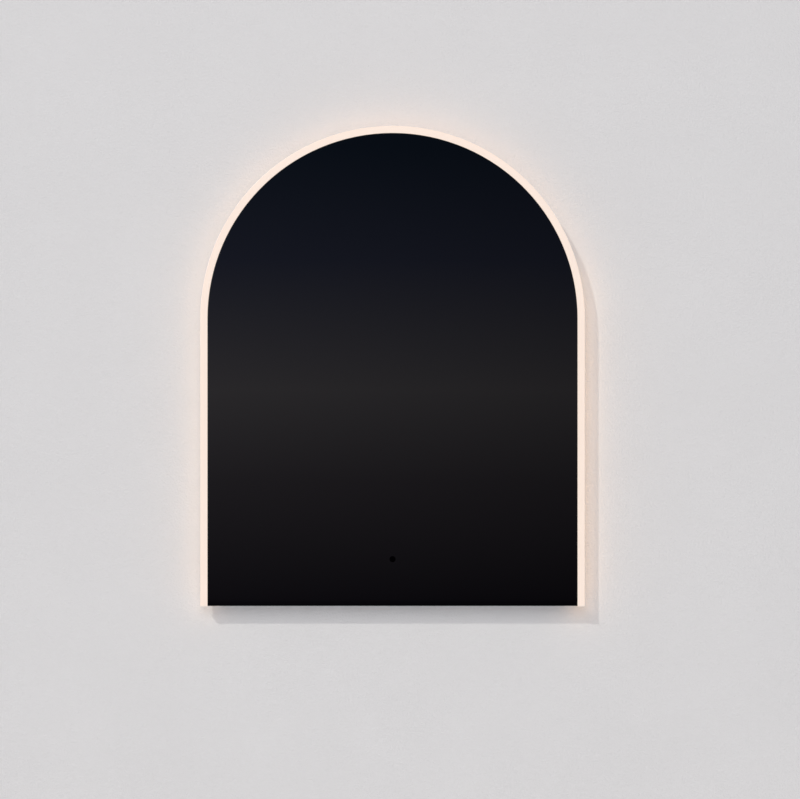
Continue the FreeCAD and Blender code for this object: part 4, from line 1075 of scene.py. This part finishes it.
for name, centre, out, length, tilt in stretches:
    run = Vector((-out.z, 0, out.x))
    beside = centre + out * (OUTER_RADIUS + SIDE_LAMP_GAP) + Vector((0, -SIDE_LAMP_DEPTH, 0))
    side_gain = min(SIDE_DIM * tilt, 0)
    glow_lamp(f"side_glow_{name}", beside, out, run, (length, SIDE_LAMP_WIDTH), SIDE_GLOW, side_gain)
    behind = centre + out * (OUTER_RADIUS - BACK_LAMP_INSET) + Vector((0, BACK_LAMP_GAP - RIM_BACK, 0))
    back_gain = tilt * (BACK_LIFT if tilt > 0 else BACK_DIM)
    glow_lamp(f"back_glow_{name}", behind, REARWARD, run, (length, BACK_LAMP_WIDTH), BACK_GLOW, back_gain)


# ---- The room: a pale painted wall that shows only from the front, a pale floor, and soft lamps in front
# and behind. A sun to the upper left throws the mirror's shadow on the wall.

WALL_FACE = 0.0004
WALL_SPREAD = 3.0
WALL_TOP = 2.4
FLOOR_HEIGHT = -1.5
FLOOR_SPREAD = 9.0
ROOM_LIGHT = 0.38
ROOM_COLOUR = (0.90, 0.925, 1, 1)
SUN_WAY = (0.83, 1.0, -1.035)


def flat_sheet(name, corners, material):
    mesh = bpy.data.meshes.new(name)
    mesh.from_pydata(corners, [], [range(len(corners))])
    mesh.materials.append(material)
    new_object(name, mesh)


def any_of(tree, first, *others):
    """1 where any one of the values is 1."""
    for other in others:
        first = maths(tree, "MAXIMUM", first, other)
    return first


def wall_finish():
    """Pale emulsion with a fine roller texture, which shows from the room's side only."""
    material, tree, shader = start_finish("wall_paint", roughness=0.75)
    place = object_place(tree)
    broad = mottle(tree, place, scale=5.0, detail=2.0)
    fine = mottle(tree, place, scale=230.0, detail=3.0)
    colour = blend_colours(tree, broad, (0.655, 0.640, 0.648), (0.685, 0.670, 0.678))
    tree.links.new(colour, shader.inputs["Base Color"])
    raise_bump(tree, shader, fine, distance=0.0012)
    rays = add(tree, "ShaderNodeLightPath").outputs
    behind = add(tree, "ShaderNodeNewGeometry").outputs["Backfacing"]
    clear = any_of(tree, behind, rays["Is Shadow Ray"], rays["Is Glossy Ray"])
    nothing = add(tree, "ShaderNodeBsdfTransparent").outputs[0]
    mixed = add(tree, "ShaderNodeMixShader", {0: clear, 1: shader.outputs[0], 2: nothing}).outputs[0]
    output = next(n for n in tree.nodes if n.type == "OUTPUT_MATERIAL")
    tree.links.new(mixed, output.inputs["Surface"])
    return material


flat_sheet("wall", [
    (-WALL_SPREAD, WALL_FACE, FLOOR_HEIGHT), (WALL_SPREAD, WALL_FACE, FLOOR_HEIGHT),
    (WALL_SPREAD, WALL_FACE, WALL_TOP), (-WALL_SPREAD, WALL_FACE, WALL_TOP),
], wall_finish())
floor_paint = grained("floor_paint", (0.86, 0.86, 0.86), (0.90, 0.90, 0.90), (0.6, 0.7), scale=12.0)
flat_sheet("floor", [
    (-FLOOR_SPREAD, -FLOOR_SPREAD, FLOOR_HEIGHT), (FLOOR_SPREAD, -FLOOR_SPREAD, FLOOR_HEIGHT),
    (FLOOR_SPREAD, FLOOR_SPREAD, FLOOR_HEIGHT), (-FLOOR_SPREAD, FLOOR_SPREAD, FLOOR_HEIGHT),
], floor_paint)


def aimed(direction):
    """The turn that points a lamp in a direction."""
    return Vector(direction).to_track_quat("-Z", "Y").to_euler()


def soft_lamp(name, place, target, size, radiance):
    """A square soft lamp that faces a point."""
    lamp = area_lamp(name, (size, size), radiance)
    lamp.location = place
    lamp.rotation_euler = aimed(Vector(target) - Vector(place))
    return lamp


sun_data = bpy.data.lights.new("key", "SUN")
sun_data.energy = 1.08
sun_data.angle = math.radians(1.6)
sun_data.color = (1.0, 0.985, 0.91)
sun = new_object("key", sun_data)
sun.rotation_euler = aimed(SUN_WAY)
front_fill = soft_lamp("front_fill", (-0.4, -6.0, 2.8), (0, 0, 0), size=3.4, radiance=3.76)
front_fill.visible_glossy = False
soft_lamp("rear_left", (-2.6, 2.6, 1.4), (0, 0, -0.1), size=3.6, radiance=1.75)
soft_lamp("rear_right", (2.2, 3.0, 0.4), (0, 0, -0.1), size=3.0, radiance=1.6)

world = bpy.data.worlds.new("room")
bpy.context.scene.world = world
world.use_nodes = True
sky = world.node_tree
sky.nodes.clear()
rays = add(sky, "ShaderNodeLightPath").outputs
seen = any_of(sky, rays["Is Camera Ray"], rays["Is Glossy Ray"], rays["Is Transmission Ray"])
lighting = add(sky, "ShaderNodeBackground", {"Color": ROOM_COLOUR, "Strength": ROOM_LIGHT}).outputs[0]
backdrop = add(sky, "ShaderNodeBackground", {"Color": (1, 1, 1, 1), "Strength": 1.0}).outputs[0]
whole = add(sky, "ShaderNodeMixShader", {0: seen, 1: lighting, 2: backdrop}).outputs[0]
add(sky, "ShaderNodeOutputWorld", {"Surface": whole})
